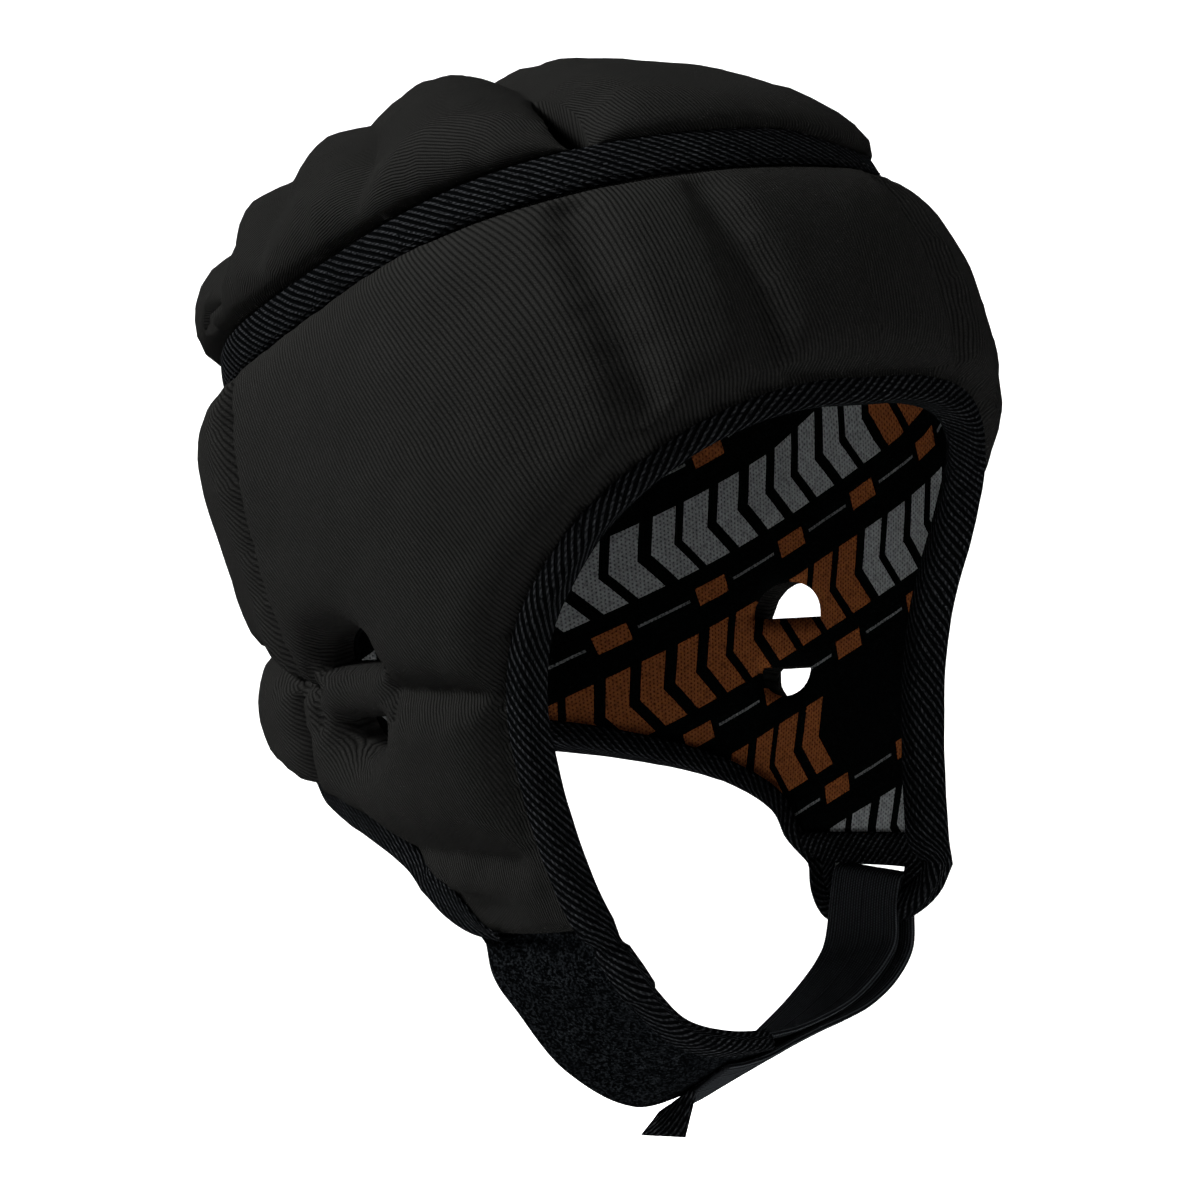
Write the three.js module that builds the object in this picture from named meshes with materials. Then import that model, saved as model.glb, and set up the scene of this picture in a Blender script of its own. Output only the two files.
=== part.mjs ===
// Soft padded headgear for sport: a lobed crown, a padded band with ear flaps, their linings,
// the tape bindings along the edges, and a chin fastening of a tab and a doubled strap.
// Millimetres. +X is the wearer's left, -Y the front, +Z up.
// The origin is the point inside the crown where the top of the head sits.
import * as THREE from "three";
import { mergeVertices } from "three/addons/utils/BufferGeometryUtils.js";
import { ConvexHull } from "three/addons/math/ConvexHull.js";

const { clamp, degToRad, lerp, radToDeg, smoothstep } = THREE.MathUtils;

// Head hollow, measured to the face of the lining
const HEAD_HALF_BREADTH = 79;
const HEAD_FRONT = 100;
const HEAD_BACK = 101;
const CROWN_RISE = 84;
const SECTION_POWER = 2.5;
const DOME_POWER = 2.35;
const JAW_TAPER = 0.86;
const NAPE_TAPER = 0.54;
const TAPER_DEPTH = 143;
const TAPER_POWER = 1.6;

// Layers, measured outwards from the head
const GAP = 0.3;
const LINING_THICKNESS = 1.2;
const PAD_INNER = LINING_THICKNESS + GAP;
const CROWN_THICKNESS = 26;
const CROWN_REAR_EXTRA = 2;
const CROWN_FRONT_SLIMMING = 9;
const BAND_THICKNESS = 19;
const BAND_FRONT_SLIMMING = 4;
const BAND_REAR_EXTRA = 2.5;
const BAND_NAPE_SLIMMING = 5;
const CHEEK_SLIMMING = 5;
const FACE_EDGE_THICKNESS = 10.5;
const NECK_EDGE_THICKNESS = 8;
const SEAM_THICKNESS = 10;
const HOLE_THICKNESS = 7;

// Width of the rounding of a pad beside each kind of line, and of the flat bottom of a channel
const CROWN_RIM_ROUND = 10;
const BAND_TOP_ROUND = 17;
const BOUND_ROUND = 8;
const HOLE_ROUND = 8;
const CHANNEL_FLAT = 0.5;

// Seam between crown and band: its height at mid side, its tilt and its bow round the head
const SEAM_LEVEL = -42.6;
const SEAM_TILT = 24;
const SEAM_BOW = -3.2;
const SEAM_HALF_GAP = 0.2;

// Ear openings: two half-moons with a padded bar between them, in a shallow dip
const EAR_TURN = 98;
const EAR_LEVEL = -142;
const EAR_BAR_HALF_HEIGHT = 7;
const EAR_DIP = 6;
const EAR_DIP_REACH = 20;
const EAR_DEGREE_LENGTH = 1.4;
const EAR_HOLES = [
  { side: 1, halfWidth: 13, depth: 14 },
  { side: -1, halfWidth: 10.5, depth: 13 },
];

// Lower ends of the ear flaps
const FLAP_BOTTOM_RIGHT = -209;
const FLAP_BOTTOM_LEFT = -199.5;

// Bindings
const TAPE_THICKNESS = 1.4;
const TAPE_COVER = 5.5;
const TAPE_OUTER_GAP = 0.45;
const TAPE_INNER_GAP = 1;
const TAPE_ROUNDING = 1.6;
const TAPE_MARGIN = 5;
const CROWN_TAPE_WIDTH = 7.5;
const CROWN_TAPE_INSET = 0.4;
const CROWN_TAPE_LIFT = 0.65;
const CROWN_TAPE_MARGIN = 3.5;

// Chin fastening
const TAB_THICKNESS = 3;
const TAB_END = 0.5;
const TAB_FRONT_INSET = 0.05;
const STRAP_THICKNESS = 1.7;
const STRAP_INSET_ON_TAB = 0.27;
const STRAP_INSET_FROM = 0.46;
const STRAP_INSET_TO = 0.68;
const STRAP_FLAP_THICKNESS = 3.2;
const STRAP_FLAP_LIFT = 1.5;
const STRAP_FLAP_TOP = 5.7;
const STRAP_FLAP_BOTTOM = 14;
const STRAP_FLAP_FRONT = 20;
const STRAP_FLAP_REAR = 25;
const STRAP_FLAP_CORNER = 8;
const SLOT_HALF_WIDTH = 15.5;
const SLOT_HALF_HEIGHT = 2.6;

// Mesh spacing, and the rows of points beside each kind of line
const EDGE_STEP = 7;
const FIELD_STEP = 13;
const LINING_STEP = 16;
const CHANNEL_STEP = 3;
const BOUND_ROWS = [7.4, 13.5];
const CHANNEL_ROWS = [4, 10];
const HOLE_ROWS = [4, 8];
const TAPED_ROWS = [8, 13.5];

// Edges of the band, one row for each bend: turn in degrees from the front, and height
const FACE_EDGE = [
  { turn: 0, level: -76.5 },
  { turn: 11, level: -76.8 },
  { turn: 22, level: -81 },
  { turn: 32, level: -90 },
  { turn: 41, level: -102 },
  { turn: 49, level: -118 },
  { turn: 54, level: -133 },
  { turn: 56, level: -150 },
  { turn: 55.3, level: -165 },
  { turn: 53.5, level: -180 },
  { turn: 50.5, level: -196 },
  { turn: 46, level: -211 },
];
const NECK_EDGE = [
  { turn: 180, level: -160 },
  { turn: 153, level: -166 },
  { turn: 126, level: -174.5 },
  { turn: 108, level: -180 },
  { turn: 97, level: -186.5 },
  { turn: 91.5, level: -196.5 },
  { turn: 87, level: -207 },
  { turn: 82, level: -218 },
];

// Sewn channels of the band, from one turn and height to another.
// floor is the thickness left at the bottom of a channel, round the width of the pad's rounding.
const BAND_CHANNELS = [
  { name: "forehead", floor: 12, round: 9, from: [17.5, -70], to: [21, -26] },
  { name: "temple", floor: 12, round: 9, from: [34, -76], to: [42, -30] },
  { name: "rear upper", floor: 11, round: 11, from: [126, -58], to: [118.5, -138] },
  { name: "rear lower", floor: 11, round: 11, from: [118, -142], to: [121, -171] },
  { name: "ear front", floor: 10, round: 10, from: [84, -141], to: [60, -143.5] },
  { name: "ear rear", floor: 10, round: 10, from: [111, -140], to: [130, -131] },
  { name: "ear back", floor: 10, round: 10, from: [130, -131], to: [180, -126] },
  { name: "cheek", floor: 10, round: 10, from: [90, -183], to: [61, -187] },
  { name: "centre back", floor: 13, round: 12, from: [180, -75], to: [180, -155] },
];

// Sewn channels of the crown, as points of its flattened plan, across and along the head.
// They run forwards from the midline like the veins of a leaf.
const CROWN_CHANNELS = [
  { name: "front vein", floor: 10, round: 15, points: [[58, -66], [38, -34], [14, 12], [0, 38]] },
  { name: "side vein", floor: 10, round: 15, points: [[98, -8], [60, 6], [33, 28], [0, 64]] },
  { name: "rear vein", floor: 11, round: 14, points: [[106, 38], [72, 38], [48, 44], [0, 84]] },
  { name: "back vein", floor: 11, round: 12, points: [[92, 86], [66, 60], [0, 106]] },
  { name: "spine", floor: 14, round: 14, points: [[0, 38], [0, 122]] },
  { name: "front pinch", floor: 14, round: 12, points: [[0, -84], [0, -56]] },
];

// Chin loop, from the right flap to the slot on the left, one row for each section:
// the front edge and the rear edge of the face that lies against the chin
const CHIN_LOOP = [
  { front: [-57.5, -56.5, -210.3], rear: [-65.5, -13, -211.8] },
  { front: [-53.5, -59.5, -218.5], rear: [-64, -14.5, -220.5] },
  { front: [-46.5, -59, -227.5], rear: [-57, -17, -229] },
  { front: [-34, -56, -236.5], rear: [-44, -19, -246] },
  { front: [-16, -53, -241.5], rear: [-25, -20, -260] },
  { front: [4, -50, -243.5], rear: [4, -19, -256] },
  { front: [27, -46, -241], rear: [27, -14, -247.5] },
  { front: [45, -42, -236], rear: [47, -11.5, -237.5] },
  { front: [57, -42, -226], rear: [59, -11, -227] },
  { front: [62, -41, -208], rear: [64, -12, -207] },
];

// Way of the strap, one row for each bend: share of the chin loop, or drop below the slot's middle
// on the strap flap, and the distance out from the loop's inner face to the strap's middle
const OUTER_PLY = [
  { share: 0.44, out: 4.6 },
  { share: 0.48, out: 4.7 },
  { share: 0.54, out: 4.7 },
  { share: 0.6, out: 4.8 },
  { share: 0.66, out: 5.2 },
  { share: 0.72, out: 6 },
  { share: 0.78, out: 6.4 },
  { share: 0.84, out: 6.2 },
  { share: 0.89, out: 5.9 },
];
const SLOT_TURN = [
  { drop: 9, out: 5.85 },
  { drop: 2.2, out: 5.85 },
  { drop: 0.3, out: 5.1 },
  { drop: -0.3, out: 3.1 },
  { drop: 0.3, out: 1.1 },
  { drop: 2.2, out: 0.35 },
  { drop: 9, out: 0.35 },
];
const INNER_PLY = [
  { share: 0.89, out: 0.4 },
  { share: 0.84, out: 0.6 },
  { share: 0.78, out: 0.8 },
  { share: 0.72, out: 0.85 },
  { share: 0.66, out: 0.85 },
  { share: 0.6, out: 0.85 },
  { share: 0.55, out: 0.85 },
  { share: 0.515, out: 0.85 },
];

// Pull tab: the free end of the strap, which leaves the chin tab and points down and back
const PULL_TAB_LENGTH = 17;
const PULL_TAB_WAY = [-0.9, 0.1, -0.42];
const PULL_TAB_INSET = 0.12;
const PULL_TAB_END_INSET = 0.22;

// The head hollow as a surface over turn, in degrees from the front, and drop, the length down from the top
const WIDEST_LEVEL = -CROWN_RISE;
const DOME_ARC = 88;
const QUARTER = (DOME_ARC * Math.PI) / 2;
const DEGREE_LENGTH = 1.55;
const ON_MIDLINE = 1e-6;

function sectionRadius(turn) {
  const sine = Math.abs(Math.sin(degToRad(turn)));
  const cosine = Math.cos(degToRad(turn));
  const length = cosine > 0 ? HEAD_FRONT : HEAD_BACK;
  const across = (sine / HEAD_HALF_BREADTH) ** SECTION_POWER;
  const along = (Math.abs(cosine) / length) ** SECTION_POWER;
  return (across + along) ** (-1 / SECTION_POWER);
}

function headPoint(turn, drop) {
  let spread;
  let level;
  if (drop < QUARTER) {
    const tilt = drop / DOME_ARC;
    spread = Math.sin(tilt) ** (2 / DOME_POWER);
    level = WIDEST_LEVEL + CROWN_RISE * Math.cos(tilt) ** (2 / DOME_POWER);
  } else {
    const below = drop - QUARTER;
    const front = (1 + Math.cos(degToRad(turn))) / 2;
    const taper = lerp(NAPE_TAPER, JAW_TAPER, front);
    spread = 1 - (1 - taper) * (below / TAPER_DEPTH) ** TAPER_POWER;
    level = WIDEST_LEVEL - below;
  }
  const radius = sectionRadius(turn) * spread;
  const angle = degToRad(turn);
  return new THREE.Vector3(radius * Math.sin(angle), -radius * Math.cos(angle), level);
}

function dropAt(level) {
  if (level <= WIDEST_LEVEL) {
    return QUARTER + WIDEST_LEVEL - level;
  }
  const rise = (level - WIDEST_LEVEL) / CROWN_RISE;
  return DOME_ARC * Math.acos(rise ** (DOME_POWER / 2));
}

function seamLevel(turn) {
  const angle = degToRad(turn);
  return SEAM_LEVEL + SEAM_TILT * Math.cos(angle) + SEAM_BOW * Math.cos(2 * angle);
}

// Flat charts: the band unrolls by turn and drop, the crown spreads out round its top
const BAND_CHART = {
  spot: (turn, drop) => new THREE.Vector2(turn * DEGREE_LENGTH, drop),
  place: (p) => headPoint(p.x / DEGREE_LENGTH, p.y),
};
const CROWN_CHART = {
  spot: (turn, drop) => {
    const angle = degToRad(turn);
    return new THREE.Vector2(drop * Math.sin(angle), -drop * Math.cos(angle));
  },
  place: (p) => headPoint(radToDeg(Math.atan2(p.x, -p.y)), p.length()),
};

function bandSpot(turn, level) {
  return BAND_CHART.spot(turn, dropAt(level));
}

function chartNormal(chart, p) {
  const step = 0.4;
  const place = (dx, dy) => chart.place(new THREE.Vector2(p.x + dx, p.y + dy));
  const alongX = place(step, 0).sub(place(-step, 0));
  const alongY = place(0, step).sub(place(0, -step));
  const normal = alongX.cross(alongY).normalize();
  const outward = chart.place(p);
  outward.z = Math.max(outward.z - WIDEST_LEVEL, 0);
  return normal.dot(outward) < 0 ? normal.negate() : normal;
}

function lifted(chart, p, thickness) {
  const head = chart.place(p);
  const point = head.clone().addScaledVector(chartNormal(chart, p), thickness);
  if (Math.abs(head.x) < ON_MIDLINE) {
    point.x = 0;
  }
  return point;
}

// Lines on a chart
function resample(points, step) {
  const lengths = [0];
  for (let i = 1; i < points.length; i += 1) {
    lengths.push(lengths[i - 1] + points[i].distanceTo(points[i - 1]));
  }
  const total = lengths[lengths.length - 1];
  const count = Math.max(1, Math.round(total / step));
  const result = [];
  let leg = 1;
  for (let k = 0; k <= count; k += 1) {
    const wanted = (total * k) / count;
    while (leg < points.length - 1 && lengths[leg] < wanted) {
      leg += 1;
    }
    const share = (wanted - lengths[leg - 1]) / (lengths[leg] - lengths[leg - 1]);
    result.push(points[leg - 1].clone().lerp(points[leg], share));
  }
  return result;
}

function edgeCurve(rows, stopLevel) {
  const bends = rows.map((row) => new THREE.Vector2(row.turn, row.level));
  const fine = new THREE.SplineCurve(bends).getPoints(160);
  const last = fine.findIndex((p) => p.y <= stopLevel);
  const above = fine[last - 1];
  const share = (stopLevel - above.y) / (fine[last].y - above.y);
  const kept = [...fine.slice(0, last), above.clone().lerp(fine[last], share)];
  return resample(kept.map((p) => bandSpot(p.x, p.y)), EDGE_STEP);
}

function seamCurve(chart, shift) {
  const points = [];
  for (let turn = 0; turn <= 180; turn += 3) {
    points.push(chart.spot(turn, dropAt(seamLevel(turn)) + shift));
  }
  return resample(points, EDGE_STEP);
}

function earHole(hole) {
  const flatSide = bandSpot(EAR_TURN, EAR_LEVEL + hole.side * EAR_BAR_HALF_HEIGHT);
  const stretch = DEGREE_LENGTH / EAR_DEGREE_LENGTH;
  const steps = 12;
  const points = [];
  for (let i = 0; i <= steps; i += 1) {
    const angle = (Math.PI * i) / steps;
    const across = -Math.cos(angle) * hole.halfWidth * stretch;
    const away = Math.sin(angle) ** 0.8 * hole.depth * hole.side;
    points.push(new THREE.Vector2(flatSide.x + across, flatSide.y - away));
  }
  points.push(points[0]);
  return resample(points, EDGE_STEP * 0.75).slice(0, -1);
}

function closedLine(loop) {
  return [...loop, loop[0]];
}

// Thickness: a pad is full in the middle and rounds down to its channels and edges
function distanceToLine(line, point) {
  const segment = new THREE.Line3();
  const nearest = new THREE.Vector3();
  let best = Infinity;
  for (let i = 1; i < line.length; i += 1) {
    segment.set(line[i - 1], line[i]);
    segment.closestPointToPoint(point, true, nearest);
    best = Math.min(best, nearest.distanceTo(point));
  }
  return best;
}

function pillow(share) {
  const inside = 1 - clamp(share, 0, 1);
  return Math.sqrt(1 - inside * inside);
}

function padThickness(point, full, limits) {
  let thickness = full;
  for (const limit of limits) {
    const distance = distanceToLine(limit.line, point) - limit.flat;
    const rise = Math.max(full - limit.floor, 0) * pillow(distance / limit.round);
    thickness = Math.min(thickness, limit.floor + rise);
  }
  return thickness;
}

function bandFullness(turn, level) {
  const front = BAND_FRONT_SLIMMING * (1 - smoothstep(turn, 45, 80));
  const slope = lerp(-BAND_NAPE_SLIMMING, BAND_REAR_EXTRA, smoothstep(level, -125, -65));
  const nape = BAND_NAPE_SLIMMING * smoothstep(-level, 130, 148);
  const rear = smoothstep(turn, 114, 134) * (slope + nape);
  const cheek = CHEEK_SLIMMING * smoothstep(-level, 165, 205);
  const offEar = Math.hypot((turn - EAR_TURN) * EAR_DEGREE_LENGTH, level - EAR_LEVEL) / EAR_DIP_REACH;
  return BAND_THICKNESS - front + rear - cheek - EAR_DIP * Math.exp(-offEar * offEar);
}

function crownFullness(point) {
  const rear = CROWN_REAR_EXTRA * smoothstep(point.y, 0, HEAD_BACK);
  const front = CROWN_FRONT_SLIMMING * smoothstep(-point.y, -25, 55);
  return CROWN_THICKNESS + rear - front;
}

// Delaunay triangles of flat points: the lower hull of the points raised onto a paraboloid
function delaunay(points) {
  const centre = new THREE.Box2().setFromPoints(points).getCenter(new THREE.Vector2());
  const index = new Map();
  const raised = points.map((p, i) => {
    const q = p.clone().sub(centre).multiplyScalar(0.01);
    const corner = new THREE.Vector3(q.x, q.y, q.lengthSq());
    index.set(corner, i);
    return corner;
  });
  const hull = new ConvexHull().setFromPoints(raised);
  return hull.faces
    .filter((face) => face.normal.z < -1e-7)
    .map((face) => [0, 1, 2].map((k) => index.get(face.getEdge(k).head().point)));
}

function insideLoop(p, loop) {
  let inside = false;
  for (let i = 0; i < loop.length; i += 1) {
    const a = loop[i];
    const b = loop[(i + 1) % loop.length];
    if (a.y > p.y !== b.y > p.y && p.x < lerp(a.x, b.x, (p.y - a.y) / (b.y - a.y))) {
      inside = !inside;
    }
  }
  return inside;
}

function insideRegion(p, loops) {
  return insideLoop(p, loops[0]) && !loops.slice(1).some((loop) => insideLoop(p, loop));
}

// Points of a region: its loops, its channels, rows beside these lines, and a staggered field
function regionPoints(loops, lines, fieldStep) {
  const points = loops.flat();
  const offer = (p, clearance) => {
    if (insideRegion(p, loops) && points.every((q) => q.distanceTo(p) >= clearance)) {
      points.push(p);
    }
  };
  for (const { line } of lines.filter((entry) => entry.sewn)) {
    resample(line, EDGE_STEP).forEach((p) => offer(p, EDGE_STEP * 0.4));
  }
  for (const level of [0, 1]) {
    for (const { line, rows } of lines) {
      const places = resample(line, EDGE_STEP);
      for (let i = 0; i < places.length; i += 1) {
        const along = places[Math.min(i + 1, places.length - 1)].clone().sub(places[Math.max(i - 1, 0)]);
        const side = new THREE.Vector2(-along.y, along.x).setLength(rows[level]);
        offer(places[i].clone().add(side), Math.min(rows[level], EDGE_STEP) * 0.55);
        offer(places[i].clone().sub(side), Math.min(rows[level], EDGE_STEP) * 0.55);
      }
    }
  }
  const box = new THREE.Box2().setFromPoints(loops[0]);
  const rowStep = (fieldStep * Math.sqrt(3)) / 2;
  for (let row = 1; box.min.y + row * rowStep < box.max.y; row += 1) {
    const shift = (row % 2) * 0.5 * fieldStep;
    for (let x = box.min.x + shift; x < box.max.x; x += fieldStep) {
      const stir = 0.05 * Math.sin(x);
      offer(new THREE.Vector2(x, box.min.y + row * rowStep + stir), fieldStep * 0.6);
    }
  }
  return points;
}

function regionTriangles(points, loops) {
  return delaunay(points).filter(([a, b, c]) => {
    const middle = points[a].clone().add(points[b]).add(points[c]).divideScalar(3);
    return insideRegion(middle, loops);
  });
}

// Triangles collected as a plain list of coordinates
function addTriangle(list, a, b, c) {
  list.push(a.x, a.y, a.z, b.x, b.y, b.z, c.x, c.y, c.z);
}

function addFacing(list, a, b, c, direction) {
  const facing = b.clone().sub(a).cross(c.clone().sub(a));
  if (facing.dot(direction) > 0) {
    addTriangle(list, a, b, c);
  } else {
    addTriangle(list, a, c, b);
  }
}

function flipped(list, across) {
  const result = [];
  for (let i = 0; i < list.length; i += 9) {
    for (const corner of [0, 2, 1]) {
      const at = i + corner * 3;
      result.push(list[at] * across, list[at + 1], list[at + 2]);
    }
  }
  return result;
}

function solid(...lists) {
  const geometry = new THREE.BufferGeometry();
  geometry.setAttribute("position", new THREE.Float32BufferAttribute(lists.flat(), 3));
  const merged = mergeVertices(geometry, 1e-3);
  merged.computeVertexNormals();
  return merged;
}

// Half a shell between two faces over a chart, open only along the midline of the head
function addFace(list, chart, loops, face, outward) {
  const flat = regionPoints(loops, face.lines, face.step);
  const points = flat.map((p) => lifted(chart, p, face.thickness(p)));
  for (const [a, b, c] of regionTriangles(flat, loops)) {
    const direction = chartNormal(chart, flat[a]).multiplyScalar(outward);
    addFacing(list, points[a], points[b], points[c], direction);
  }
}

function addRim(list, chart, loops, outer, inner) {
  for (const loop of loops) {
    for (let i = 0; i < loop.length; i += 1) {
      const p = loop[i];
      const q = loop[(i + 1) % loop.length];
      const onMidline = [p, q].every((end) => Math.abs(chart.place(end).x) < ON_MIDLINE);
      if (!onMidline) {
        const middle = p.clone().lerp(q, 0.5);
        const side = new THREE.Vector2(p.y - q.y, q.x - p.x).setLength(0.5);
        const away = middle.clone().add(side);
        const out = insideRegion(away, loops) ? middle.clone().sub(side) : away;
        const direction = chart.place(out).sub(chart.place(middle));
        const corners = [
          lifted(chart, p, outer.thickness(p)),
          lifted(chart, q, outer.thickness(q)),
          lifted(chart, q, inner.thickness(q)),
          lifted(chart, p, inner.thickness(p)),
        ];
        addFacing(list, corners[0], corners[1], corners[2], direction);
        addFacing(list, corners[0], corners[2], corners[3], direction);
      }
    }
  }
}

function halfShell(chart, loops, outer, inner) {
  const list = [];
  addFace(list, chart, loops, outer, 1);
  addFace(list, chart, loops, inner, -1);
  addRim(list, chart, loops, outer, inner);
  return list;
}

function plainFace(thickness) {
  return { lines: [], step: LINING_STEP, thickness: () => thickness };
}

function paddedHalf(chart, loops, lines, fullness) {
  const limits = lines.map((entry) => ({
    ...entry,
    line: resample(entry.line, CHANNEL_STEP).map((p) => chart.place(p)),
  }));
  const outer = {
    lines,
    step: FIELD_STEP,
    thickness: (p) => padThickness(chart.place(p), fullness(p), limits),
  };
  return {
    pad: halfShell(chart, loops, outer, plainFace(PAD_INNER)),
    lining: halfShell(chart, loops, plainFace(LINING_THICKNESS), plainFace(0)),
  };
}

// Band: one side of the head, from the front midline to the back midline
function bandHalf(flapBottom) {
  const seam = seamCurve(BAND_CHART, SEAM_HALF_GAP);
  const face = edgeCurve(FACE_EDGE, flapBottom);
  const neck = edgeCurve(NECK_EDGE, flapBottom);
  const bottom = resample([face.at(-1), neck.at(-1)], EDGE_STEP);
  const front = resample([seam[0], face[0]], EDGE_STEP);
  const back = resample([neck[0], seam.at(-1)], EDGE_STEP);
  const outline = [front, face, bottom, neck.toReversed(), back, seam.toReversed()];
  const holes = EAR_HOLES.map(earHole);
  const loops = [outline.flatMap((line) => line.slice(0, -1)), ...holes];
  const bound = { flat: TAPE_COVER + TAPE_MARGIN, round: BOUND_ROUND, rows: BOUND_ROWS };
  const pierced = { floor: HOLE_THICKNESS, flat: 0, round: HOLE_ROUND, rows: HOLE_ROWS };
  const lines = [
    { line: seam, floor: SEAM_THICKNESS, flat: CHANNEL_FLAT, round: BAND_TOP_ROUND, rows: CHANNEL_ROWS },
    ...[face, bottom].map((line) => ({ ...bound, line, floor: FACE_EDGE_THICKNESS })),
    { ...bound, line: neck, floor: NECK_EDGE_THICKNESS },
    ...holes.map((loop) => ({ ...pierced, line: closedLine(loop) })),
    ...BAND_CHANNELS.map((channel) => ({
      line: [bandSpot(...channel.from), bandSpot(...channel.to)],
      floor: channel.floor,
      flat: CHANNEL_FLAT,
      round: channel.round,
      rows: CHANNEL_ROWS,
      sewn: true,
    })),
  ];
  const fullness = (p) => bandFullness(p.x / DEGREE_LENGTH, BAND_CHART.place(p).z);
  return { ...paddedHalf(BAND_CHART, loops, lines, fullness), face, neck };
}

// Crown: one side of the head, round to the other end of its midline
function crownHalf() {
  const seam = seamCurve(CROWN_CHART, -SEAM_HALF_GAP);
  const midline = resample([seam.at(-1), seam[0]], EDGE_STEP);
  const loops = [[...seam.slice(0, -1), ...midline.slice(0, -1)]];
  const rim = {
    line: seam,
    floor: SEAM_THICKNESS,
    flat: CROWN_TAPE_WIDTH + CROWN_TAPE_MARGIN,
    round: CROWN_RIM_ROUND,
    rows: TAPED_ROWS,
  };
  const channels = CROWN_CHANNELS.map((channel) => ({
    line: channel.points.map((p) => new THREE.Vector2(...p)),
    floor: channel.floor,
    flat: CHANNEL_FLAT,
    round: channel.round,
    rows: CHANNEL_ROWS,
    sewn: true,
  }));
  const fullness = (p) => crownFullness(CROWN_CHART.place(p));
  return { ...paddedHalf(CROWN_CHART, loops, [rim, ...channels], fullness), seam };
}

// A closed solid through sections that all have the same corners
function facingOut(list) {
  const [a, b, c] = [new THREE.Vector3(), new THREE.Vector3(), new THREE.Vector3()];
  let volume = 0;
  for (let i = 0; i < list.length; i += 9) {
    a.fromArray(list, i);
    b.fromArray(list, i + 3);
    c.fromArray(list, i + 6);
    volume += a.dot(b.cross(c));
  }
  return volume > 0 ? list : flipped(list, 1);
}

function sweptSolid(sections, profile, closed) {
  const list = [];
  const count = sections.length;
  for (let i = 0; i < (closed ? count : count - 1); i += 1) {
    const here = sections[i];
    const next = sections[(i + 1) % count];
    for (let k = 0; k < profile.length; k += 1) {
      const n = (k + 1) % profile.length;
      addTriangle(list, here[k], here[n], next[n]);
      addTriangle(list, here[k], next[n], next[k]);
    }
  }
  if (!closed) {
    const first = sections[0];
    const last = sections[count - 1];
    for (const [a, b, c] of THREE.ShapeUtils.triangulateShape(profile, [])) {
      addTriangle(list, first[a], first[c], first[b]);
      addTriangle(list, last[a], last[b], last[c]);
    }
  }
  return facingOut(list);
}

// Folded tape: the section of a binding round an edge of the given wall thickness
function foldedTape(wall) {
  const over = wall + TAPE_OUTER_GAP;
  const outer = over + TAPE_THICKNESS;
  const under = -TAPE_INNER_GAP;
  const inner = under - TAPE_THICKNESS;
  const front = -GAP - TAPE_THICKNESS;
  const corners = [
    [TAPE_COVER, over],
    [TAPE_COVER, outer],
    [front + TAPE_ROUNDING, outer],
    [front, outer - TAPE_ROUNDING],
    [front, inner + TAPE_ROUNDING],
    [front + TAPE_ROUNDING, inner],
    [TAPE_COVER, inner],
    [TAPE_COVER, under],
    [-GAP, under],
    [-GAP, over],
  ];
  return corners.map((corner) => new THREE.Vector2(...corner));
}

function profileAt(profile, origin, into, out) {
  return profile.map((q) => origin.clone().addScaledVector(into, q.x).addScaledVector(out, q.y));
}

function edgeSections(line, hand, profile) {
  return line.map((p, i) => {
    const before = BAND_CHART.place(line[Math.max(i - 1, 0)]);
    const after = BAND_CHART.place(line[Math.min(i + 1, line.length - 1)]);
    const out = chartNormal(BAND_CHART, p);
    const into = after.sub(before).cross(out).multiplyScalar(hand).normalize();
    return profileAt(profile, BAND_CHART.place(p), into, out);
  });
}

function mirroredSections(sections) {
  return sections.map((section) => section.map((p) => new THREE.Vector3(-p.x, p.y, p.z)));
}

function neckBinding(right, left) {
  const profile = foldedTape(NECK_EDGE_THICKNESS);
  const rightSide = mirroredSections(edgeSections(right, 1, profile)).reverse();
  const leftSide = edgeSections(left, 1, profile).slice(1);
  return sweptSolid([...rightSide, ...leftSide], profile, false);
}

function faceBinding(right, left) {
  const profile = foldedTape(FACE_EDGE_THICKNESS);
  const tabSide = [];
  const slim = foldedTape(TAB_THICKNESS);
  for (let share = TAB_END - 0.03; share > 0.02; share -= 0.045) {
    const origin = loopPoint(share, TAB_FRONT_INSET, 0);
    const into = loopPoint(share, 1, 0).sub(origin).normalize();
    const out = loopPoint(share, TAB_FRONT_INSET, 1).sub(origin);
    tabSide.push(profileAt(slim, origin, into, out));
  }
  const rightSide = mirroredSections(edgeSections(right, -1, profile)).reverse();
  const leftSide = edgeSections(left, -1, profile).slice(1);
  return sweptSolid([...tabSide, ...rightSide, ...leftSide], profile, false);
}

function crownBinding(seam) {
  const bottom = SEAM_THICKNESS + CROWN_TAPE_LIFT;
  const top = bottom + TAPE_THICKNESS;
  const corners = [
    [CROWN_TAPE_INSET, bottom],
    [CROWN_TAPE_WIDTH, bottom],
    [CROWN_TAPE_WIDTH, top],
    [CROWN_TAPE_INSET, top],
  ];
  const profile = corners.map((corner) => new THREE.Vector2(...corner));
  const half = seam.map((p) =>
    profile.map((q) => lifted(CROWN_CHART, p.clone().setLength(p.length() - q.x), q.y)),
  );
  const other = mirroredSections(half.slice(1, -1)).reverse();
  return sweptSolid([...half, ...other], profile, true);
}

// Chin loop: share runs from the right flap to the slot, across from the front edge to the rear edge
function curveThrough(rows, key) {
  return new THREE.CatmullRomCurve3(rows.map((row) => new THREE.Vector3(...row[key])));
}

const LOOP_FRONT = curveThrough(CHIN_LOOP, "front");
const LOOP_REAR = curveThrough(CHIN_LOOP, "rear");

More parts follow.
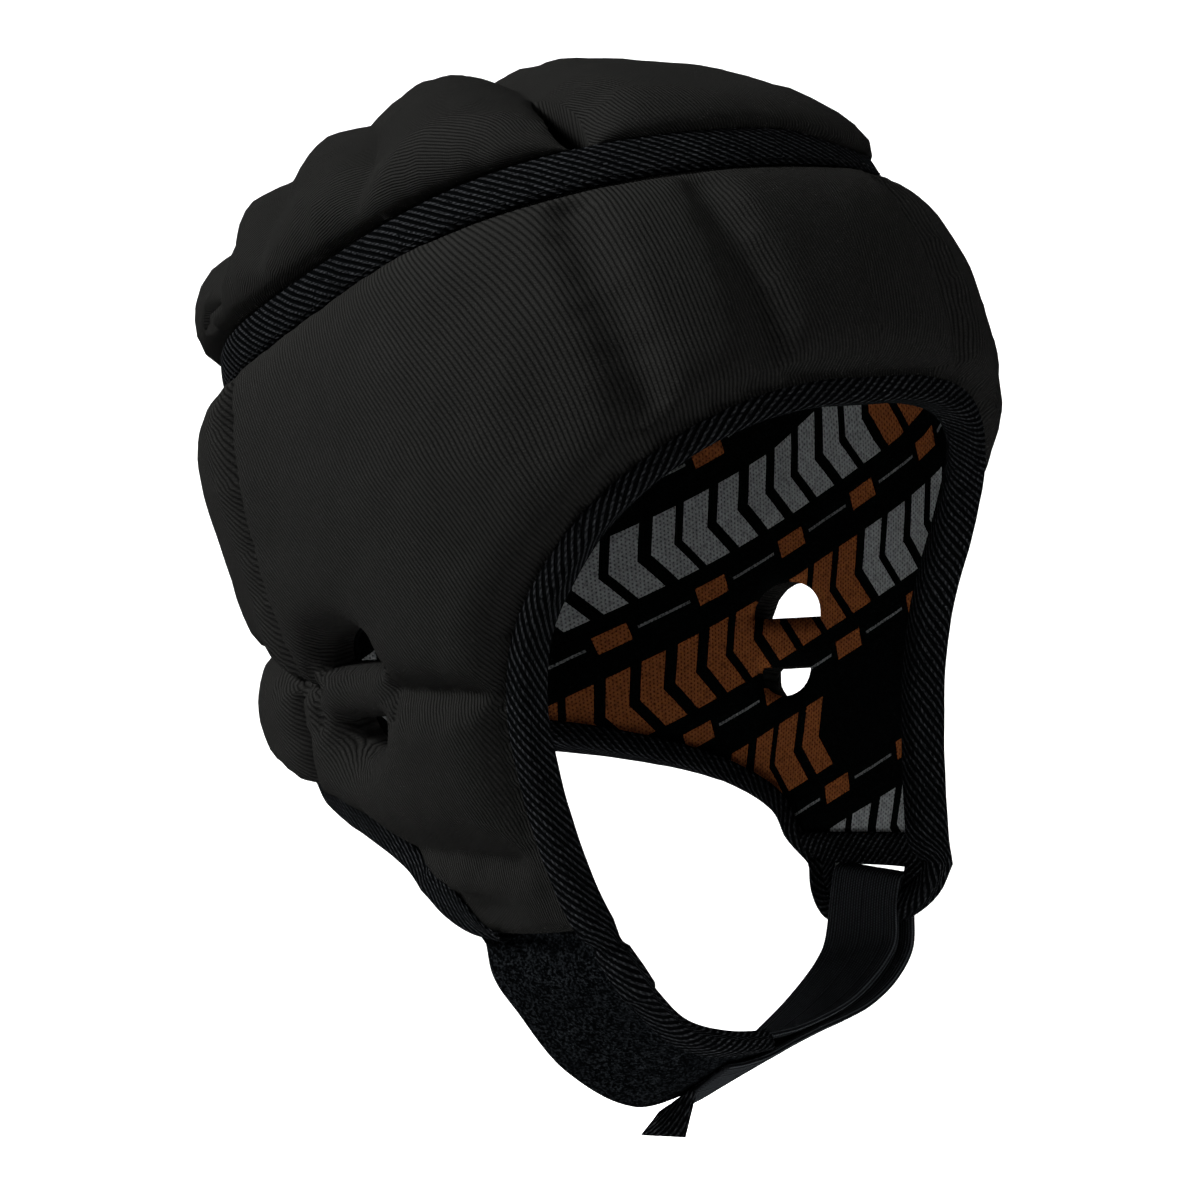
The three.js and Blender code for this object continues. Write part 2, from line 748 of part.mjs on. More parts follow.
function loopPoint(share, across, out) {
  const front = LOOP_FRONT.getPoint(share);
  const width = LOOP_REAR.getPoint(share).sub(front);
  const along = LOOP_FRONT.getTangent(share).lerp(LOOP_REAR.getTangent(share), across);
  const normal = width.clone().cross(along).normalize();
  return front.addScaledVector(width, across).addScaledVector(normal, out);
}

const RIBBON_CORNERS = [[0, 0], [1, 0], [1, 1], [0, 1]];
const RIBBON_PROFILE = RIBBON_CORNERS.map((corner) => new THREE.Vector2(...corner));

function chinTab() {
  const sections = [];
  const steps = 12;
  for (let i = 0; i <= steps; i += 1) {
    const share = (TAB_END * i) / steps;
    const rounding = 0.25 * smoothstep(share, TAB_END * 0.8, TAB_END);
    const rear = 1 - rounding;
    const front = TAB_FRONT_INSET + rounding * 0.3;
    sections.push([
      loopPoint(share, front, 0),
      loopPoint(share, rear, 0),
      loopPoint(share, rear, TAB_THICKNESS),
      loopPoint(share, front, TAB_THICKNESS),
    ]);
  }
  return sweptSolid(sections, RIBBON_PROFILE, false);
}

// Axes of the strap flap at the middle of its slot: to the rear, downwards, and inwards
function strapFlapAxes() {
  const middle = loopPoint(1, 0.5, 0);
  const rear = loopPoint(1, 1, 0).sub(loopPoint(1, 0, 0)).normalize();
  const out = loopPoint(1, 0.5, 1).sub(middle);
  const down = rear.clone().cross(out).normalize();
  return { middle, rear, out, down };
}

function strapFlap() {
  const { middle, rear, out, down } = strapFlapAxes();
  const shape = new THREE.Shape();
  const cornerTop = STRAP_FLAP_BOTTOM - STRAP_FLAP_CORNER;
  const rearBottom = STRAP_FLAP_REAR - STRAP_FLAP_CORNER;
  const frontBottom = STRAP_FLAP_CORNER - STRAP_FLAP_FRONT;
  shape.moveTo(-STRAP_FLAP_FRONT, -STRAP_FLAP_TOP);
  shape.lineTo(STRAP_FLAP_REAR, -STRAP_FLAP_TOP);
  shape.lineTo(STRAP_FLAP_REAR - 1, cornerTop);
  shape.quadraticCurveTo(STRAP_FLAP_REAR - 2, STRAP_FLAP_BOTTOM, rearBottom, STRAP_FLAP_BOTTOM);
  shape.lineTo(frontBottom, STRAP_FLAP_BOTTOM);
  shape.quadraticCurveTo(1 - STRAP_FLAP_FRONT, STRAP_FLAP_BOTTOM, -STRAP_FLAP_FRONT, cornerTop);
  shape.closePath();
  const slot = new THREE.Path();
  slot.moveTo(-SLOT_HALF_WIDTH, -SLOT_HALF_HEIGHT);
  slot.lineTo(-SLOT_HALF_WIDTH, SLOT_HALF_HEIGHT);
  slot.lineTo(SLOT_HALF_WIDTH, SLOT_HALF_HEIGHT);
  slot.lineTo(SLOT_HALF_WIDTH, -SLOT_HALF_HEIGHT);
  slot.closePath();
  shape.holes.push(slot);
  const plate = new THREE.ExtrudeGeometry(shape, {
    depth: STRAP_FLAP_THICKNESS,
    curveSegments: 5,
    bevelEnabled: false,
  });
  const inwards = rear.clone().cross(down);
  const lift = inwards.dot(out) < 0 ? STRAP_FLAP_LIFT + STRAP_FLAP_THICKNESS : STRAP_FLAP_LIFT;
  const frame = new THREE.Matrix4().makeBasis(rear, down, inwards);
  frame.setPosition(middle.clone().addScaledVector(out, lift));
  plate.applyMatrix4(frame);
  plate.deleteAttribute("normal");
  plate.deleteAttribute("uv");
  const merged = mergeVertices(plate, 1e-3);
  merged.computeVertexNormals();
  return merged;
}

function strapStations() {
  const { middle, rear, out, down } = strapFlapAxes();
  const halfWidth = LOOP_FRONT.getPoint(1).distanceTo(LOOP_REAR.getPoint(1)) / 2;
  return [...OUTER_PLY, ...SLOT_TURN, ...INNER_PLY].map((row) => {
    if (row.share !== undefined) {
      const inset = STRAP_INSET_ON_TAB * (1 - smoothstep(row.share, STRAP_INSET_FROM, STRAP_INSET_TO));
      return { front: loopPoint(row.share, inset, row.out), rear: loopPoint(row.share, 1, row.out) };
    }
    const centre = middle.clone().addScaledVector(down, row.drop).addScaledVector(out, row.out);
    return {
      front: centre.clone().addScaledVector(rear, -halfWidth),
      rear: centre.clone().addScaledVector(rear, halfWidth),
    };
  });
}

function ribbon(stations, thickness) {
  const sections = stations.map((station, i) => {
    const before = stations[Math.max(i - 1, 0)];
    const after = stations[Math.min(i + 1, stations.length - 1)];
    const width = station.rear.clone().sub(station.front);
    const along = after.front.clone().add(after.rear).sub(before.front).sub(before.rear);
    const half = width.clone().cross(along).setLength(thickness / 2);
    return [
      station.front.clone().sub(half),
      station.rear.clone().sub(half),
      station.rear.clone().add(half),
      station.front.clone().add(half),
    ];
  });
  return sweptSolid(sections, RIBBON_PROFILE, false);
}

function pullTab() {
  const [end] = strapStations();
  const way = new THREE.Vector3(...PULL_TAB_WAY).normalize();
  const width = end.rear.clone().sub(end.front);
  const stations = [0, 0.3, 0.6, 0.9, 1].map((share) => {
    const narrowing = lerp(PULL_TAB_INSET, PULL_TAB_END_INSET, smoothstep(share, 0.8, 1));
    const reach = way.clone().multiplyScalar(STRAP_THICKNESS / 2 + PULL_TAB_LENGTH * share);
    return {
      front: end.front.clone().addScaledVector(width, narrowing).add(reach),
      rear: end.rear.clone().addScaledVector(width, -narrowing).add(reach),
    };
  });
  return ribbon(stations, STRAP_THICKNESS);
}

// Finishes
const KNIT = { color: 0x222220, roughness: 0.92, metalness: 0 };
const MESH_LINING = { color: 0x1c1c1e, roughness: 0.9, metalness: 0 };
const TWILL_TAPE = { color: 0x17191e, roughness: 0.85, metalness: 0 };
const LOOP_PILE = { color: 0x1b1c1d, roughness: 1, metalness: 0 };
const WEBBING = { color: 0x191a1c, roughness: 0.85, metalness: 0 };

const headgear = new THREE.Group();

function addPiece(name, geometry, finish) {
  const mesh = new THREE.Mesh(geometry, new THREE.MeshStandardMaterial(finish));
  mesh.name = name;
  headgear.add(mesh);
}

const crown = crownHalf();
const rightBand = bandHalf(FLAP_BOTTOM_RIGHT);
const leftBand = bandHalf(FLAP_BOTTOM_LEFT);

addPiece("crown_pad", solid(crown.pad, flipped(crown.pad, -1)), KNIT);
addPiece("crown_lining", solid(crown.lining, flipped(crown.lining, -1)), MESH_LINING);
addPiece("band_pad", solid(leftBand.pad, flipped(rightBand.pad, -1)), KNIT);
addPiece("band_lining", solid(leftBand.lining, flipped(rightBand.lining, -1)), MESH_LINING);
addPiece("crown_binding", solid(crownBinding(crown.seam)), TWILL_TAPE);
addPiece("face_binding", solid(faceBinding(rightBand.face, leftBand.face)), TWILL_TAPE);
addPiece("neck_binding", solid(neckBinding(rightBand.neck, leftBand.neck)), TWILL_TAPE);
addPiece("chin_tab", solid(chinTab()), LOOP_PILE);
addPiece("strap_flap", strapFlap(), TWILL_TAPE);
addPiece("chin_strap", solid(ribbon(strapStations(), STRAP_THICKNESS)), WEBBING);
addPiece("pull_tab", solid(pullTab()), WEBBING);

export default headgear;
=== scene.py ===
import math
from collections import namedtuple
from functools import partial

import bmesh
import bpy
import numpy as np
from bpy.props import FloatProperty, FloatVectorProperty, PointerProperty
from mathutils import Matrix, Vector, noise
from mathutils.geometry import delaunay_2d_cdt


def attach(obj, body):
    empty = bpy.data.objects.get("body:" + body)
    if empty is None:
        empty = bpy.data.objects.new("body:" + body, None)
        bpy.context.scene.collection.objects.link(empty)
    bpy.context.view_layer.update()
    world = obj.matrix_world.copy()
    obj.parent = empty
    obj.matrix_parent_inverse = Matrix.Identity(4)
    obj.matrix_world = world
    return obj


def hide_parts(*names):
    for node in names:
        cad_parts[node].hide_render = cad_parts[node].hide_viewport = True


bl_info = {
    "name": "Soft Headgear",
    "version": (1, 0, 0),
    "blender": (4, 5, 0),
    "location": "View3D > Sidebar > Headgear",
    "description": "Dresses the packed model of padded sport headgear in cloth, tape and webbing",
    "category": "Add Mesh",
}

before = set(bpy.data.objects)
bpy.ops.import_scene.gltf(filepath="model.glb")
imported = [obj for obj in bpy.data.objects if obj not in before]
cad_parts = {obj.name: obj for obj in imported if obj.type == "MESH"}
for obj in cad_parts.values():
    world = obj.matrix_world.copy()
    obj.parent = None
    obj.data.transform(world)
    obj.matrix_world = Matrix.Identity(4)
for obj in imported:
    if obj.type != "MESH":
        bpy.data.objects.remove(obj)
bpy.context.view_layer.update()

# Tables and helper functions are in millimetres, and meshes in metres.
# +X is the wearer's left, -Y the front, +Z up, and the origin the inside top of the crown.
MM = 0.001
UV_NAME = "cloth"

# Head hollow, measured to the face of the lining
HEAD_HALF_BREADTH = 79
HEAD_FRONT = 100
HEAD_BACK = 101
CROWN_RISE = 84
SECTION_POWER = 2.5
DOME_POWER = 2.35
JAW_TAPER = 0.86
NAPE_TAPER = 0.54
TAPER_DEPTH = 143
TAPER_POWER = 1.6
WIDEST_LEVEL = -CROWN_RISE
DOME_ARC = 88
QUARTER = DOME_ARC * math.pi / 2
DEGREE_LENGTH = 1.55

# Layers, measured outwards from the head
GAP = 0.3
LINING_THICKNESS = 1.2
PAD_INNER = LINING_THICKNESS + GAP
CROWN_REAR_EXTRA = 2
CROWN_FRONT_SLIMMING = 5
CROWN_SIDE_EXTRA = 3
BAND_FRONT_SLIMMING = 4
BAND_REAR_EXTRA = 1
BAND_NAPE_SLIMMING = 5
CHEEK_SLIMMING = 6
BROW_EDGE_THICKNESS = 6.5
CHEEK_EDGE_THICKNESS = 8
NECK_EDGE_THICKNESS = 8.5
SEAM_THICKNESS = 10
HOLE_THICKNESS = 6
TAB_JOINT_THICKNESS = 4.5
LEAST_PADDING = 2.5
LINING_RIPPLE = 0.35
LINING_SLACK = 0.1

# Where those thicknesses change: turns, depths or distances over which each change comes in
BAND_FRONT_TURNS = (45, 80)
BAND_REAR_TURNS = (114, 134)
BAND_REAR_LEVELS = (-125, -65)
NAPE_DEPTHS = (130, 148)
CHEEK_DEPTHS = (165, 205)
BROW_TURNS = (28, 52)
CROWN_FRONT_REACH = (-25, 55)
CROWN_SIDE_SPOT = (38, -2)
CROWN_SIDE_REACH = 26

# Cloth of the covers: its length for each length of the head, and how far its ribs lean
CROWN_STRETCH = 1.6
CROWN_LEAN = 0.5
CROWN_LEAN_START = -30
BAND_STRETCH = 1.18
BAND_LEANS = (0.2, 0.6)
BAND_LEAN_TURNS = (25, 85)
BAND_CLOSING = 0.36
BAND_CLOSING_RANGE = (40, 80)

# Width of a pad's rounding beside each kind of line, and of the flat strip beside a tape
CROWN_RIM_ROUND = 15
CROWN_RIM_SLOPE = 0.36
BAND_TOP_ROUND = 15
BOUND_ROUND = 7
BROW_ROUND = 10
BOUND_STRIP = 0.8
BROW_STRIP = 2.4
HOLE_ROUND = 9
CHANNEL_FLAT = 0.4
TAB_JOINT_ROUND = 8
WELT_ROUND = 2.6

# Lobes above the crown's tape: angle by which they roll under themselves, extra bulge of the
# front ones on the left and right, where that bulge comes in, and how much fuller it rolls
ROLL_UNDER = math.radians(28)
CROWN_OVERHANGS = (8, 0)
OVERHANG_FORWARDS = (25, 55)
OVERHANG_OUTWARDS = (0, 25)
OVERHANG_ROLL = 0.6

# Softness of the pads: length, seed and share of each swell, step between seeds, and how far
# two lines blend where they meet
SWELLS = ((16, 1, 1), (7, 6, 0.5))
SWELL_SHIFT = (7.3, 3.1, 5.7)
SEAM_SOFTNESS = 3
LINING_SWELL = (14, 11)
# Waves beside stitches: length, phase for each seed and share, and their size at edges and channels
PUCKER_WAVES = ((10.5, 1, 0.6), (6.3, 2.1, 0.4))
EDGE_PUCKER = 0.06
CHANNEL_PUCKER = 0.13
PUCKER_REACH = 1.25

# Seam between crown and band
SEAM_LEVEL = -42.6
SEAM_TILT = 24
SEAM_BOW = -3.2
SEAM_HALF_GAP = 0.2
WELT_DROP = 4.5
WELT_DEPTH = 0.7

# Ear openings, and the side, half width and depth of each of a pair
EAR_TURN = 98
EAR_LEVEL = -142
EAR_BAR_HALF_HEIGHT = 7
EAR_DIP = 6
EAR_DIP_REACH = 20
EAR_DEGREE_LENGTH = 1.4
EAR_HOLE_POWER = 0.8
EAR_HOLES = [(1, 14.5, 10.5), (-1, 11, 8.5)]

# Lower ends of the ear flaps: where the face edge and the neck edge stop, and the way between them
# The right flap's tape turns the rear corner and follows the last part of that way
RIGHT_FLAP = (-206.5, -195, [(58, -208), (70, -207.8), (80, -205.5), (88, -201.5)])
LEFT_FLAP = (-204, -204, [(50.5, -213), (58, -219.5), (70, -221), (81, -219), (87, -212)])
RIGHT_CORNER_SHARE = 0.44
FLAP_THIN_LEVELS = (196, 206)
FLAP_THINNESS = 3.2
FLAP_LIFT_LIMIT = 8
FLAP_LEAST_FACING = 0.3

# Bindings
TAPE_THICKNESS = 1.3
TAPE_COVER = 5
NECK_TAPE_COVER = 10
NECK_TAPER = 26
NECK_TAPER_SHARE = 0.85
TAPE_CORNER = 2.2
TAPE_CORNERS_IN_WALL = 2.4
TAPE_EDGE_THINNESS = 0.45
# Slack of a folded tape: length, seed step and height of each wave, and its play in and out
TAPE_SLACK = ((9, 0, 0.45), (4, 3, 0.2))
TAPE_PLAY_INWARDS = 0.35
TAPE_PLAY_OUTWARDS = 0.02
FACE_TAPE_SEED = 21
NECK_TAPE_SEED = 23
TAPE_OUTER_GAP = 0.35
TAPE_INNER_GAP = 0.8
CROWN_TAPE_WIDTH = 9.5
CROWN_TAPE_LIFT = 0.3
CROWN_TAPE_TUCK = 1.7
CROWN_TAPE_START = 0.2
CROWN_TAPE_BULGE = 0.35
CROWN_TAPE_STEP = 2.4

# A stitch: where its thread shows along its length, half its width and height, and where it is full
STITCH_SHOWN = (0.12, 0.8)
STITCH_HALF_WIDTH = 0.28
STITCH_HALF_HEIGHT = 0.22
STITCH_FULL = (0.25, 0.75)

# Chin fastening: tab, strap, slot in the left flap and the patch inside it
TAB_THICKNESS = 3
TAB_END = 0.54
TAB_FRONT_INSET = 0.05
TAB_EDGE_SHARE = 0.06
TAB_EDGE_THINNESS = 0.3
TAB_ROUNDING = 0.25
TAB_ROUNDING_START = 0.8
TAB_FRONT_ROUNDING = 0.3
TAB_JOINT_LIFT = 0.4
STRAP_THICKNESS = 1.7
STRAP_INSET_ON_TAB = 0.27
STRAP_LEAVES_TAB = (0.46, 0.68)
STRAP_GROOVES = (0.16, 0.5, 0.84)
GROOVE_WIDTH = 0.022
GROOVE_DEPTH = 0.3
WEBBING_EDGE_SHARE = 0.04
WEBBING_EDGE_THINNESS = 0.35
WEBBING_CORNER_SHARE = 0.3
STRAP_FLAP_LIFT = 1.5
SLOT_HALF_WIDTH = 15.5
SLOT_HALF_HEIGHT = 2.6
SLOT_FRONT_DROP = 0.3
SLOT_REAR_RISE = 1.3
PATCH_TOP_LEVEL = -194
PATCH_INSET = 0.86
PATCH_FACES = (-0.3, -0.9)
PATCH_STEP = 2.4
# Tape along the tab, by share of the chin loop: margin at its ends, where its lap starts and ends,
# what the lap adds, and how it narrows to its end
TAB_TAPE_MARGIN = 0.01
TAB_LAP_START = (0.03, 0.045)
TAB_LAP_END = (0.18, 0.2)
TAB_LAP_WIDENING = 0.25
TAB_LAP_THICKENING = 0.2
TAB_LAP_SHIFT = 0.8
TAB_TAPE_NARROWING = 0.6
TAB_TAPE_NARROWING_LENGTH = 0.14
TAB_TAPE_FLATTENING = 0.25

# Edges of the band: turn in degrees from the front, and height
FACE_EDGE = [
    (0, -76.5), (11, -76.8), (22, -81), (32, -90), (41, -102), (49, -118), (54, -133),
    (56, -150), (55.3, -165), (53.5, -180), (50.5, -196), (46, -211),
]
NECK_EDGE = [
    (180, -160), (153, -166), (126, -175.5), (108, -183.5), (98.5, -190), (93, -199),
    (87, -207), (82, -218),
]

# Sewn channels of the band: depth, half width of the flat bottom, width of the rounding,
# profile and way
BAND_CHANNELS = [
    (5, 0.8, 7, "ledge", [(17.5, -70), (18.6, -50), (21, -26)]),
    (5.6, 0.8, 8, "ledge", [(34, -76), (37, -54), (42, -30)]),
    (10, 1, 9, "pillow", [(125, -58), (121, -98), (116.5, -138)]),
    (8, 0.4, 11, "pillow", [(118, -142), (118.6, -156), (121, -171)]),
    (7, 0.6, 10, "valley", [(84, -141), (72, -142), (60, -143.5)]),
    (8, 0.4, 10, "pillow", [(111, -140), (120, -136.5), (130, -131)]),
    (8, 0.4, 10, "pillow", [(130, -131), (155, -128), (180, -126)]),
    (5.5, 0.6, 13, "valley", [(90, -183), (76, -184.5), (61, -187)]),
    (6, 0.4, 12, "pillow", [(180, -75), (180, -115), (180, -155)]),
    (5, 0.3, 6, "pillow", [(111, -134), (112, -141), (111, -148)]),
    (4, 0.3, 6, "pillow", [(84.5, -134), (84, -141), (84.5, -148)]),
]
# Sewn channels of the crown: depth, width of the rounding, way across its flattened plan
CROWN_CHANNELS = [
    (8, 16, [(45, -64), (39, -52), (34, -37), (27, -19), (12, 14), (0, 38)]),
    (5, 16, [(98, -8), (60, 6), (33, 28), (0, 64)]),
    (4.8, 15, [(106, 38), (72, 38), (48, 44), (0, 84)]),
    (5.5, 13, [(92, 86), (66, 60), (0, 106)]),
    (4, 14, [(0, 38), (0, 122)]),
    (6, 10, [(0, -84), (0, -57)]),
]

# Vent slits in the crown's channels: how pointed they are, then middle, direction, half length
# and half width of each
SLIT_POINTEDNESS = 1.5
CROWN_SLITS = [
    ((32.8, -34), (12, -33), 16, 3.3),
    ((70, 66.5), (-4, 13), 7, 1),
]

# Chin loop from the right flap to the slot on the left: front edge and rear edge of its inner face
CHIN_LOOP = [
    ((-57.5, -56.5, -210.3), (-65.5, -13, -211.8)),
    ((-53.5, -59.5, -218.5), (-64, -13, -220.5)),
    ((-46.5, -59, -227.5), (-57, -12.5, -230)),
    ((-34, -56, -236.5), (-44, -15, -248)),
    ((-16, -53, -241.5), (-25, -20, -260)),
    ((4, -50, -243.5), (4, -19, -256)),
    ((27, -46, -241), (27, -14, -247.5)),
    ((45, -42, -236), (47, -11.5, -237.5)),
    ((57, -42, -226), (59, -11, -227)),
    ((62, -41, -208), (64, -12, -207)),
]
# Way of the strap: share of the chin loop and distance out, and at the slot the drop below it
# and distance out
OUTER_PLY = [
    (0.47, 4.6), (0.5, 4.7), (0.54, 4.6), (0.58, 3.7), (0.63, 3.3), (0.69, 3.9), (0.76, 5.2),
    (0.83, 5.9), (0.89, 5.9),
]
SLOT_TURN = [(9, 5.85), (2.2, 5.85), (0.3, 5.1), (-0.3, 3.1), (0.3, 0.8), (2.2, -0.3), (9, -0.3)]
INNER_PLY = [
    (0.89, -0.2), (0.84, 0.2), (0.78, 0.6), (0.72, 0.8), (0.66, 0.8), (0.6, 0.6), (0.56, -0.4),
    (0.53, -0.95), (0.48, -0.95),
]
# Pull tab: share of the strap's end where it starts, and the reach of its two corners
PULL_TAB_START = 0.5
PULL_TAB_REACH = ((-2.9, 2.5, -12.5), (-4.2, 3.6, -5.5))
PULL_TAB_THICKNESS = 2.6
PULL_TAB_GROOVES = (0.2, 0.4, 0.6, 0.8)

# Camera of the photograph
CAMERA_AZIMUTH = -40.826
CAMERA_ELEVATION = 0.9945
CAMERA_ROLL = -4.622
CAMERA_TARGET = (-5.103, 1.295, -124.383)
CAMERA_DISTANCE = 1176.228
CAMERA_LENS = 127.202
CAMERA_SENSOR = 36

# Studio, in metres: a level floor that curves up into a round wall
FLOOR_LEVEL = -0.33
FLOOR_RADIUS = 2.0
COVE_RADIUS = 1.5
COVE_STEPS = 10
WALL_HEIGHT = 4.0
WALL_SIDES = 64
WORLD_STRENGTH = 0.65
SUBJECT = tuple(part * MM for part in CAMERA_TARGET)
# Lights: name, place, place that they are aimed at, width, power in watts, spread in degrees
LIGHTS = [
    ("key_light", (-1.5, 0.7, 1.2), SUBJECT, 0.6, 9.5, 26),
    ("fill_light", (0.4, -1.8, 0.8), SUBJECT, 0.9, 3.2, 40),
    ("top_light", (-0.2, 0.3, 1.8), SUBJECT, 0.8, 3, 30),
    ("rear_light", (1.4, 1.1, 0.9), SUBJECT, 1.0, 6, 40),
    ("backdrop_light", (0.8, 0.95, 2.1), (2.0, 2.35, -0.2), 1.4, 50, 140),
]


class HeadgearSizes(bpy.types.PropertyGroup):
    """Sizes of the headgear"""

    crown_thickness: FloatProperty(
        name="Crown thickness", description="Full thickness of the crown's lobes",
        default=0.026, unit="LENGTH")
    band_thickness: FloatProperty(
        name="Band thickness", description="Full thickness of the band's pads",
        default=0.019, unit="LENGTH")
    softness: FloatProperty(
        name="Softness", description="Height of the dents and swells in the padded cloth",
        default=0.0007, unit="LENGTH")
    rib_pitch: FloatProperty(
        name="Rib pitch", description="Distance between two ribs of the knit cover",
        default=0.00105, unit="LENGTH")
    twill_pitch: FloatProperty(
        name="Twill pitch", description="Distance between two lines of the binding's twill",
        default=0.003, unit="LENGTH")
    print_row: FloatProperty(
        name="Print row", description="Height of one row of the lining's print",
        default=0.038, unit="LENGTH")
    stitch_length: FloatProperty(
        name="Stitch length", description="Length of one stitch with the gap after it",
        default=0.0036, unit="LENGTH")


def colour_property(name, description, default):
    return FloatVectorProperty(
        name=name, description=description, default=default, subtype="COLOR", min=0, max=1)


class HeadgearColours(bpy.types.PropertyGroup):
    """Colours of the headgear's cloths"""

    knit: colour_property("Knit", "Ridges of the knit cover", (0.0042, 0.0042, 0.004))
    # Painted shade: the knit's valley colour darkens the cloth in the valleys between its ribs
    knit_painted_shade: colour_property(
        "Knit valleys", "Valleys of the knit cover", (0.0013, 0.0013, 0.00124))
    lining: colour_property("Lining", "Ground of the lining", (0.0006, 0.0007, 0.0007))
    lining_deep: colour_property(
        "Lining shade", "Darker threads of the lining's ground", (0.0003, 0.0004, 0.0004))
    print_grey: colour_property("Grey print", "Grey motifs on the lining", (0.075, 0.079, 0.08))
    print_copper: colour_property(
        "Copper print", "Copper motifs on the lining", (0.066, 0.021, 0.0066))
    tape: colour_property("Tape", "Ground of the binding tape", (0.0003, 0.00034, 0.00038))
    # Painted highlight: the tape's light flecks stand for light on the raised threads of its twill
    tape_painted_highlight: colour_property(
        "Tape flecks", "Raised threads of the tape", (0.0082, 0.0087, 0.0094))
    pile: colour_property("Loop pile", "Loops of the chin tab", (0.00308, 0.00352, 0.00396))
    # Painted shade: the pile's dark colour stands for shade where the pile is low
    pile_painted_shade: colour_property(
        "Pile shade", "Ground between the loops of the chin tab", (0.0002, 0.00024, 0.00028))
    webbing: colour_property("Webbing", "Raised threads of the strap", (0.011, 0.012, 0.013))
    # Painted shade: the webbing's dark colour stands for shade in the valleys between its threads
    webbing_painted_shade: colour_property(
        "Webbing shade", "Valleys between the strap's threads", (0.0008, 0.0009, 0.001))
    thread: colour_property("Thread", "Lit strands of the stitches", (0.00048, 0.000528, 0.00064))
    thread_deep: colour_property(
        "Thread shade", "Dark strands of the stitches", (0.0001, 0.00012, 0.00015))
    floor: colour_property("Floor", "Studio floor", (0.97, 0.97, 0.97))


def settings():
    return bpy.context.scene.headgear_sizes, bpy.context.scene.headgear_colours


# Head form and its flat charts
def section_radius(turn):
    sine = np.abs(np.sin(np.radians(turn)))
    cosine = np.cos(np.radians(turn))
    length = np.where(cosine > 0, HEAD_FRONT, HEAD_BACK)
    across = (sine / HEAD_HALF_BREADTH) ** SECTION_POWER
    along = (np.abs(cosine) / length) ** SECTION_POWER
    return (across + along) ** (-1 / SECTION_POWER)


def head_point(turn, drop):
    turn = np.asarray(turn, float)
    drop = np.asarray(drop, float)
    tilt = np.clip(drop, 0, QUARTER) / DOME_ARC
    below = np.maximum(drop - QUARTER, 0)
    taper = NAPE_TAPER + (JAW_TAPER - NAPE_TAPER) * (1 + np.cos(np.radians(turn))) / 2
    skirt = 1 - (1 - taper) * (below / TAPER_DEPTH) ** TAPER_POWER
    dome = np.sin(tilt) ** (2 / DOME_POWER)
    rise = CROWN_RISE * np.clip(np.cos(tilt), 0, 1) ** (2 / DOME_POWER)
    radius = section_radius(turn) * np.where(drop < QUARTER, dome, skirt)
    level = WIDEST_LEVEL + np.where(drop < QUARTER, rise, -below)
    angle = np.radians(turn)
    return np.stack([radius * np.sin(angle), -radius * np.cos(angle), level], axis=-1)


def drop_at(level):
    level = np.asarray(level, float)
    rise = np.clip((level - WIDEST_LEVEL) / CROWN_RISE, 0, 1)
    dome = DOME_ARC * np.arccos(rise ** (DOME_POWER / 2))
    return np.where(level <= WIDEST_LEVEL, QUARTER + WIDEST_LEVEL - level, dome)


def seam_level(turn):
    angle = np.radians(turn)
    return SEAM_LEVEL + SEAM_TILT * np.cos(angle) + SEAM_BOW * np.cos(2 * angle)


class BandChart:
    """The band unrolled by turn and by length down from the top."""

    @staticmethod
    def spot(turn, drop):
        return np.stack([np.asarray(turn, float) * DEGREE_LENGTH, np.asarray(drop, float)], axis=-1)

    @staticmethod
    def place(spots):
        return head_point(spots[..., 0] / DEGREE_LENGTH, spots[..., 1])


class CrownChart:
    """The crown spread out round its top."""

    @staticmethod
    def spot(turn, drop):
        angle = np.radians(turn)
        return np.stack([drop * np.sin(angle), -drop * np.cos(angle)], axis=-1)

    @staticmethod
    def place(spots):
        turn = np.degrees(np.arctan2(spots[..., 0], -spots[..., 1]))
        return head_point(turn, np.hypot(spots[..., 0], spots[..., 1]))


def band_spot(turn, level):
    return BandChart.spot(turn, drop_at(level))


def unit(vectors):
    return vectors / np.maximum(np.linalg.norm(vectors, axis=-1, keepdims=True), 1e-12)


def chart_normal(chart, spots):
    step = 0.4
    along_x = chart.place(spots + (step, 0)) - chart.place(spots - (step, 0))
    along_y = chart.place(spots + (0, step)) - chart.place(spots - (0, step))
    normal = unit(np.cross(along_x, along_y))
    outward = chart.place(spots)
    outward[..., 2] = np.maximum(outward[..., 2] - WIDEST_LEVEL, 0)
    facing = np.sum(normal * outward, axis=-1, keepdims=True)
    return np.where(facing < 0, -normal, normal)


def lifted(chart, spots, thickness):
    head = chart.place(spots)
    points = head + chart_normal(chart, spots) * np.asarray(thickness)[..., None]
    points[..., 0] = np.where(np.abs(head[..., 0]) < 1e-5, 0, points[..., 0])
    return points


def smoothstep(value, low, high):
    share = np.clip((np.asarray(value, float) - low) / (high - low), 0, 1)
    return share * share * (3 - 2 * share)


# Lines
def lengths_along(points):
    legs = np.linalg.norm(np.diff(points, axis=0), axis=1)
    return np.concatenate([[0], np.cumsum(legs)])


def at_lengths(points, wanted):
    lengths = lengths_along(points)
    return np.stack([np.interp(wanted, lengths, column) for column in points.T], axis=1)


def resample(points, step):
    points = np.asarray(points, float)
    total = lengths_along(points)[-1]
    count = max(1, round(total / step))
    return at_lengths(points, np.linspace(0, total, count + 1))


